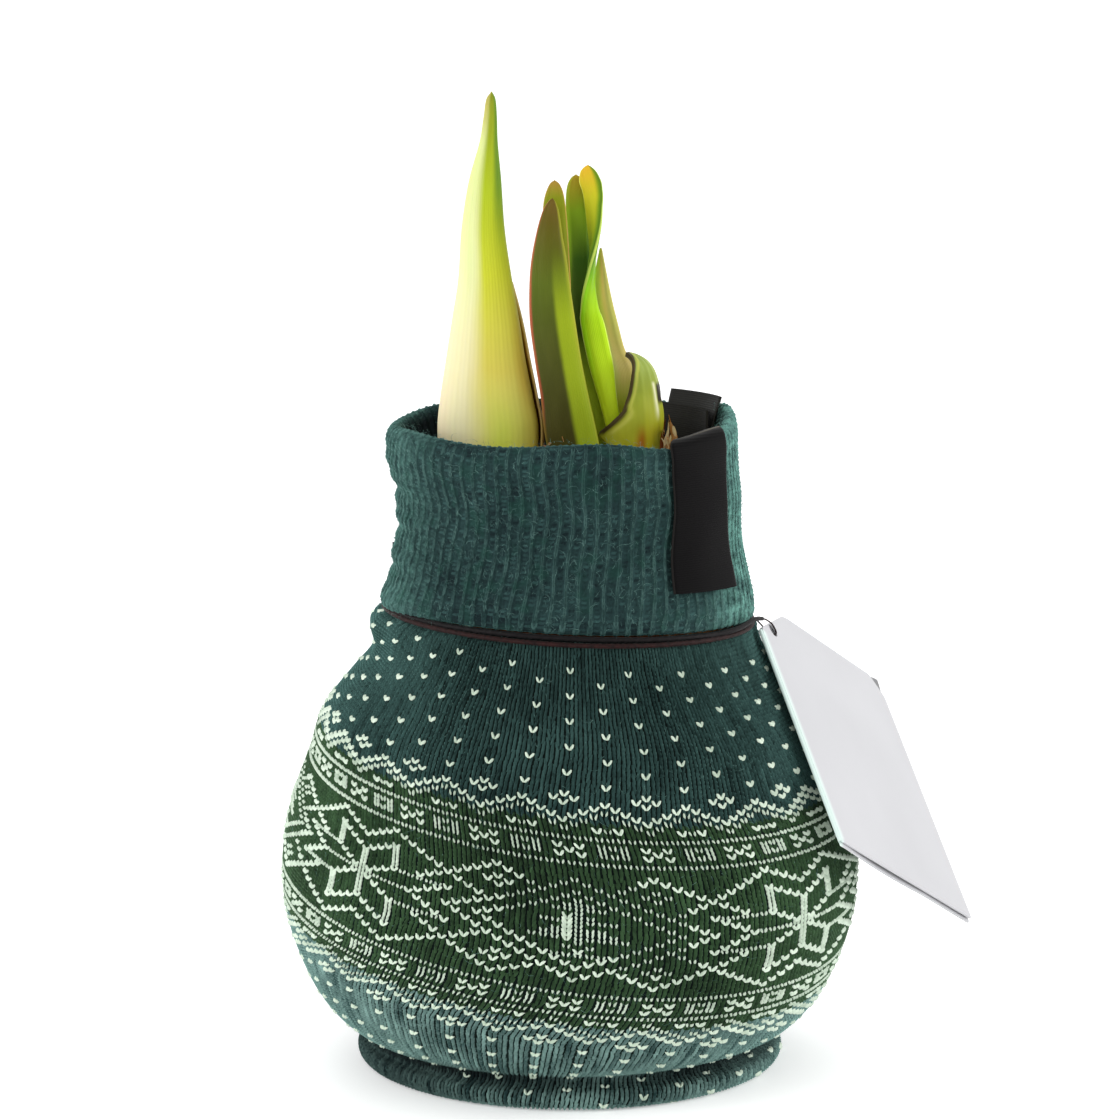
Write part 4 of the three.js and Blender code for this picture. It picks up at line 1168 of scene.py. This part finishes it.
LEAF_LOOKS = {
    "leaf_1": (
        LEAF_1,
        dict(along=[(0.0, (38, 34, 2)), (0.25, (42, 43, 1)), (0.5, (48, 58, 0)),
                    (0.72, (60, 80, 0)), (0.9, (72, 66, 0)), (1.0, (84, 60, 8))],
             tints=[((138, 158, 14), 0.95, 0.05, 0.3, 0.85, 0.55), ((26, 21, 1), 0.6, -0.2, -0.6, 0.3, 0.05),
                    ((150, 156, 26), 0.6, 0.75, 0.95, 0.3, 0.6),
                    ((170, 50, 60), 0.95, -0.84, -0.97, 0.15, 0.4)],
             margin=((150, 134, 50), 0.35), veins=(22, 0.06))),
    "leaf_2": (
        LEAF_2,
        dict(along=[(0.0, (136, 140, 10)), (0.5, (98, 90, 3)), (0.8, (112, 122, 2)),
                    (0.94, (120, 130, 4)), (1.0, (148, 110, 40))],
             margin=((196, 140, 80), 0.8))),
    "leaf_3": (
        LEAF_3,
        dict(along=[(0.0, (158, 176, 36)), (0.3, (138, 162, 20)), (0.48, (30, 54, 0)),
                    (0.72, (34, 78, 0)), (0.88, (100, 132, 1)), (1.0, (142, 118, 10))],
             tints=[((140, 176, 30), 0.5, -0.5, -0.95, 0.5, 0.8)], margin=((150, 140, 40), 0.35))),
    "leaf_4": (
        LEAF_4,
        dict(along=[(0.0, (196, 206, 40)), (0.25, (194, 222, 26)), (0.5, (168, 212, 14)),
                    (0.66, (108, 160, 0)), (0.76, (122, 146, 6)), (0.9, (178, 174, 24)),
                    (1.0, (204, 160, 34))],
             # The dark green second tint, on one side from the twist up, is painted shade on the turned
             # underside.
             tints=[((122, 196, 0), 0.7, -0.3, -0.9, 0.25, 0.45), ((44, 84, 0), 0.85, -0.2, -0.9, 0.6, 0.72)],
             margin=((214, 234, 110), 0.6), veins=(14, 0.03))),
    "leaf_5": (
        LEAF_5,
        dict(along=[(0.0, (170, 186, 24)), (0.3, (188, 198, 44)), (0.5, (216, 212, 132)),
                    (0.7, (192, 196, 82)), (1.0, (140, 134, 44))],
             tints=[((150, 196, 40), 0.7, 0.1, -0.7, 0.35, 0.6), ((200, 150, 92), 0.4, -0.2, 0.3, 0.34, 0.46),
                    ((168, 178, 92), 0.6, 0.1, 0.6, 0.52, 0.68)],
             margin=((200, 156, 96), 0.4))),
}


VALVE_TIP = 127


def make_rear_valve():
    """The second valve of the flower shoot's sheath, against its right and back."""
    path = curve(FLOWER_SHOOT, 14)
    along = np.linspace(0, 1, 90)[:, None]
    height = SHOOT_FOOT + (VALVE_TIP - SHOOT_FOOT) * along
    x, half_width, half_depth = (np.interp(height, path[:, 0], path[:, i]) for i in (1, 2, 4))
    u, side = two_sided(30, 0.3)
    spread = 62 + (14 - 62) * along**2
    angle = np.radians(46 - spread + 2 * spread * u)
    stand = 0.6 + 0.5 * side + 0.05 * np.cos(40 * u)
    points = np.stack([
        x + (half_width + stand) * np.cos(angle),
        -3 + (half_depth + stand) * np.sin(angle),
        height + 0 * angle,
    ], -1)
    values = {"across": 2 * u - 1, "along": along, "margin": margin_of(2 * u - 1, 0.93, 0.99)}
    grid_piece("rear_valve", points, RED_VALVE, "spathe", values, "rear_spathe")


SCALE_AXIS = (8.5, 0.5)
SCALE_LINE = [
    (6.1, SHOOT_FOOT), (6.3, 104), (6.2, 106), (5.8, 108.5), (5.4, 110.8), (4.7, 112.9), (3.6, 114.3),
    (2.1, 115.2), (0.7, 115.6),
]
# Where the cut edge in front runs: height and angle in degrees about the axis.
SCALE_EDGE = (
    [97, 101, 103, 104.8, 106.8, 109.6, 112.7, 114.5, 116], [-95, -108, -130, -110, -92, -82, -75, -67, -60],
)


def make_sheath():
    """The hooded sheath scale that wraps the leaves on the right, with a dark slanting cut edge in front."""
    u, side = two_sided(50, 0.7)
    radius, height = (column[:, None] for column in curve(SCALE_LINE, 12).T)
    front = np.interp(height, *SCALE_EDGE)
    back = 70 - 60 * smooth_step(height, 103, 112)
    degrees = front + (back - front) * u
    angle = np.radians(degrees)
    hood = smooth_step(height, 109, 115.5)
    dent = -0.5 * bell(u - 0.55, 0.12) * bell(height - 101, 3)
    stand = radius + 0.7 * side * (1 - 0.5 * hood) + 0.06 * np.cos(30 * u) + dent
    points = np.stack([
        SCALE_AXIS[0] + stand * np.cos(angle), SCALE_AXIS[1] + stand * np.sin(angle) - 2.2 * hood,
        height + 0.7 * side * hood + 0 * angle,
    ], -1)
    # Distance in from the cut edge, in millimetres, less where the edge is thick near the collar.
    inward = radius * np.radians(back - front) * u / (1 + 1.2 * (1 - smooth_step(height, 105.5, 108)))
    above_foot = smooth_step(height, 102.6, 103.4)
    # Painted shade: the narrow slit in the scale is painted dark.
    slit_painted_shade = smooth_step(height, 107.2, 108.2) * (1 - smooth_step(height, 110.4, 111.2))
    slit_side = smooth_step(height, 104.5, 107) * (1 - smooth_step(height, 110.8, 111.4))
    values = {
        "across": (degrees + 24) / 94, "along": (height - SHOOT_FOOT) / 21.2,
        "margin": (1 - smooth_step(inward, 0.4, 0.65)) * above_foot,
        "pale_line": 0.7 * bell(inward - 0.95, 0.22) * above_foot,
        "slit_painted_shade": slit_painted_shade * smooth_step(degrees, -28, -23) * (degrees < 25) * (side > 0),
        "slit_rim": slit_side * bell(degrees + 32, 4.5) * (side > 0),
    }
    m = plant_material(
        "sheath_skin",
        [(0.0, (172, 162, 4)), (0.35, (158, 160, 30)), (0.7, (136, 150, 44)), (1.0, (132, 152, 74))],
        # The third tint, a dark olive, is a painted shadow.
        tints=[
            ((150, 70, 4), 0.85, -0.56, -0.44, 0.52, 0.34), ((166, 168, 24), 0.9, -0.44, -0.34, 0.9, 0.2),
            ((84, 88, 4), 0.8, -0.34, -0.15, 0.52, 0.32), ((180, 190, 120), 0.5, 0.0, 0.3, 0.5, 0.9),
        ],
        margin=((38, 20, 10), 1.0), veins=(20, 0.05),
        spots=(("slit_rim", (214, 214, 168)), ("slit_painted_shade", (40, 34, 22)), ("pale_line", (188, 188, 84))),
    )
    grid_piece("sheath_scale_skin", points, m, "sheath", values, "sheath_scale")


def make_plants():
    shoot = ("flower_shoot_skin", FLOWER_SHOOT, SHOOT_SKIN, "flower_shoot", "flower_shoot")
    make_blade(*shoot, squareness=0.9, veins=9, relief=0.04, columns=72)
    make_rear_valve()
    for name, (stations, look) in LEAF_LOOKS.items():
        material = plant_material(name + "_skin", **look)
        make_blade(name + "_blade", stations, material, "leaf", name)
    make_sheath()


make_plants()

# ---- The bulb ----

BULB_LINE = [
    (2.0, 2.3), (13.5, 2.2), (20, 2.9), (27, 5.4), (33.4, 9.6), (38.4, 14.6), (42.2, 21), (44.4, 29.5),
    (43.2, 38), (41.4, 46), (38.4, 52.5), (34.4, 58.5), (30.6, 64), (27.9, 69), (25.7, 74), (24.4, 80),
    (22.3, 87), (20.8, 93), (20.0, 96.5),
]
NECK_SHIFT = -2.8
# Where the shoots come through: x, y, half width and half depth.
SOCKETS = [(-12.9, -2.6, 9.0, 6.0), (5.7, -0.9, 10.2, 9.0)]
# Radius and height of the torn ends of the scales, the outermost first.
TORN_SCALES = [(19.4, 99.2), (18.2, 98.0), (16.0, 98.4), (13.6, 97.4), (10.5, 97.0), (7.0, 96.8)]


def neck_oval(x, y, z):
    neck = smooth_step(z, 76, 97)
    return np.stack([x * (1 + 0.097 * neck) + NECK_SHIFT * neck, y * (1 - 0.25 * neck), z + 0 * x], -1)


def tunic_material(name, pale):
    m = Nodes(name)
    veins = m.noise(420, 4, 0.65, stretch=(1, 1, 0.10))
    blotches = m.noise(70, 4, 0.6)
    tone = m.plus(m.times(veins, 0.6), m.times(m.value("shade"), 0.45))
    browns = [(0.18, (84, 36, 14)), (0.45, (146, 84, 36)), (0.7, (190, 136, 72)), (0.95, pale)]
    color = m.ramp(tone, browns)
    color = m.mix(m.times(blotches, 0.35), color, (120, 40, 14))
    m.set(Base_Color=color, Roughness=0.5, Specular_IOR_Level=0.35)
    m.bump(veins, 0.5, 0.0003)
    return m.material


def bulb_body():
    """Overlapping dry scales from the base plate to the neck."""
    radius, z = (column[:, None] for column in curve(BULB_LINE, 5).T)
    azimuth = turns(176)
    lines = 0.10 * np.sin(58 * azimuth + 1.2 * np.sin(4 * azimuth)) + 0.06 * np.sin(71 * azimuth)
    # How often a scale's edge goes round, where it starts and its height.
    edges = ((1, 0.3, 70), (2, 1.9, 50), (1, 4.0, 34), (3, 0.9, 18))
    edge = sum(0.35 * smooth_step(np.sin(azimuth * k + p) * 9 + c - z, -0.8, 0.8) for k, p, c in edges)
    radius = radius - 0.5 + (lines + edge * 0.35) * smooth_step(radius, 3, 14)
    body = neck_oval(radius * np.sin(azimuth), -radius * np.cos(azimuth), z)
    shade = 0.35 + 0.2 * np.sin(azimuth * 3 + z * 0.06) + 0.1 * edge
    return body, grid_faces(*body.shape[:2], wrap=True), {"shade": shade}


def torn_scale(index, size, top):
    """The torn end of a scale, as a ring round the shoots, open where they come through it."""
    azimuth = turns(160)
    torn = beside(azimuth, 98, 0.35) * (2.0 + 0.8 * np.sin(13 * azimuth)) * (index == 0)
    ragged = 0.5 * np.sin(7 * azimuth + index) + 0.35 * np.sin(23 * azimuth + 2 * index)
    ragged = ragged + 0.3 * np.sin(51 * azimuth)
    reach = top + torn + ragged * (0.6 + 0.3 * torn)
    v = np.linspace(0, 1, 8)[:, None]
    height = 92.5 + (reach - 92.5) * v
    inside = size + (0.7 * v**2 * np.sin(9 * azimuth + 1.7 * index) + 0.25 * np.sin(31 * azimuth) * v)
    inner, outer = (
        neck_oval(radius * np.sin(azimuth), -radius * np.cos(azimuth), height)
        for radius in (inside, inside + 0.22)
    )
    shell = np.concatenate([outer, inner[::-1]])
    faces = grid_faces(*shell.shape[:2], wrap=True)
    middle = shell.reshape(-1, 3)[faces].mean(axis=1)
    free = np.ones(len(faces), bool)
    for x, y, half_width, half_depth in SOCKETS:
        free &= ((middle[:, 0] - x) / half_width) ** 2 + ((middle[:, 1] - y) / half_depth) ** 2 > 1.0
    shade = 0.45 + 0.35 * np.sin(11 * azimuth + index) + 0.2 * np.concatenate([v, v[::-1]])
    return shell, faces[free], {"shade": shade}


def neck_floor():
    """Crumpled scales that close the neck between the rings."""
    spread = np.linspace(0, 1, 24)[:, None]
    azimuth = turns(120)
    crumple = 0.5 * np.sin(14 * azimuth + 20 * spread) * np.sin(9 * spread * math.pi)
    crumple = crumple + 0.3 * np.sin(31 * azimuth + 8 * spread)
    floor = neck_oval(20 * spread * np.sin(azimuth), -20 * spread * np.cos(azimuth), 95.2 + crumple)
    shade = 0.25 + 0.3 * np.sin(23 * azimuth + 12 * spread)
    return floor, grid_faces(*floor.shape[:2], wrap=True), {"shade": shade}


def make_bulb():
    tunic = tunic_material("papery_tunic", (232, 204, 146))
    rings = [torn_scale(index, size, top) for index, (size, top) in enumerate(TORN_SCALES)]
    points, faces, values = joined([bulb_body(), *rings, neck_floor()])
    mesh_piece("bulb_scales", points, faces, tunic, "bulb_skin", values, "bulb")


# The torn end of a dry scale, right of the sheath: x, y and height of each tip, half width and shade.
TORN_TIPS = [
    (14.5, 0.4, 107.4, 0.35, -0.1), (15.0, 0.1, 106.2, 0.3, 0.9), (15.3, 0.6, 105.4, 0.35, 0.0),
    (15.7, -0.2, 104.9, 0.3, 1.0), (16.1, 0.5, 104.3, 0.35, 0.1), (16.5, 0.0, 103.3, 0.3, 0.9),
    (17.0, 0.4, 102.9, 0.35, 0.6), (17.5, 0.1, 102.0, 0.35, 1.0), (18.1, 0.3, 101.0, 0.4, 0.7),
    (14.9, -0.6, 104.0, 0.35, 0.2), (15.9, -0.8, 102.8, 0.35, 0.8),
]


def torn_strip(x, y, top, half, shade):
    """A narrow curled strip from the neck up to its torn tip."""
    v, u = np.linspace(0, 1, 16)[:, None], np.linspace(-1, 1, 5)[None, :]
    width = half * (1 - v**3) * (1.2 + 0.3 * np.sin(9 * v + 3 * x))
    sway = 0.25 * np.sin(6 * v + 5 * x)
    curl = 0.3 * v**2 + 0.15 * u**2
    height = 97 + (top - 97) * v
    points = np.stack([x - 0.8 * (1 - v) + width * u + sway, y - curl + 0 * u, height + 0 * u], -1)
    return points, grid_faces(16, 5), {"shade": 1.6 * shade + 0.25 * np.sin(4 * v + 2 * u + x)}


def make_scraps():
    """Dry flakes in the neck: curled bits of old scale between the shoots and at the torn scale."""
    # Boxes that flakes lie in: lowest and highest corner, and how many.
    boxes = [
        ((-5, -8.6, 96), (-0.4, -5.6, 102.5), 30), ((14.6, -2.6, 98.5), (17, 0.6, 104.5), 16),
        ((-12, 7.4, 96.2), (15, 9.6, 98.6), 20),
    ]
    spots = np.concatenate([rng.uniform(low, high, (count, 3)) for low, high, count in boxes])
    steps, columns = np.linspace(-1, 1, 7), np.linspace(-1, 1, 4)
    parts = []
    for spot in spots:
        length, width, curl = rng.uniform(0.5, 2.0), rng.uniform(0.15, 0.5), rng.uniform(-0.8, 0.8)
        axes = np.linalg.qr(rng.normal(0, 1, (3, 3)))[0]
        axes[0] = axes[0] * 0.5 + (0, 0, 0.8)
        taper = 1 - 0.6 * steps[:, None] ** 2
        along, across = steps[:, None] * length, columns * width * taper
        flake = along[..., None] * axes[0] + across[..., None] * axes[1]
        flake = flake + ((steps[:, None] ** 2 - columns**2 * 0.3) * curl * length * 0.6)[..., None] * axes[2]
        parts.append((spot + flake, grid_faces(7, 4), {"shade": rng.uniform(0.5, 1.5)}))
    points, faces, values = joined(parts + [torn_strip(*tip) for tip in TORN_TIPS])
    material = tunic_material("dry_flakes", (255, 248, 196))
    mesh_piece("dry_scraps", points, faces, material, "bulb_skin", values)


make_bulb()
make_scraps()

# ---- Stage ----


def make_stage():
    bpy.ops.mesh.primitive_plane_add(size=80)
    floor = bpy.context.object
    floor.name = "floor"
    m = Nodes("pale_floor")
    m.set(Base_Color=(0.95, 0.95, 0.95, 1), Roughness=0.8)
    m.set(Emission_Color=(1, 1, 1, 1), Emission_Strength=0.3)
    floor.data.materials.append(m.material)
    world = bpy.data.worlds.new("studio")
    world.use_nodes = True
    background = world.node_tree.nodes["Background"]
    background.inputs["Color"].default_value = (1, 1, 1, 1)
    background.inputs["Strength"].default_value = 1.0
    bpy.context.scene.world = world
    for name, place, target, size, power in (
        ("left", (-0.75, -0.35, 0.30), (0, 0, 0.06), 0.4, 3.0),
        ("right", (0.75, -0.05, 0.35), (0, 0, 0.06), 0.4, 2.8),
        ("back", (-0.2, 0.8, 0.6), (0, 0, 0.08), 0.6, 1.6),
    ):
        data = bpy.data.lights.new(name, "AREA")
        data.size, data.energy = size, power
        aimed(name, data, place, target)
    bpy.context.scene.view_settings.view_transform = "Standard"


make_stage()
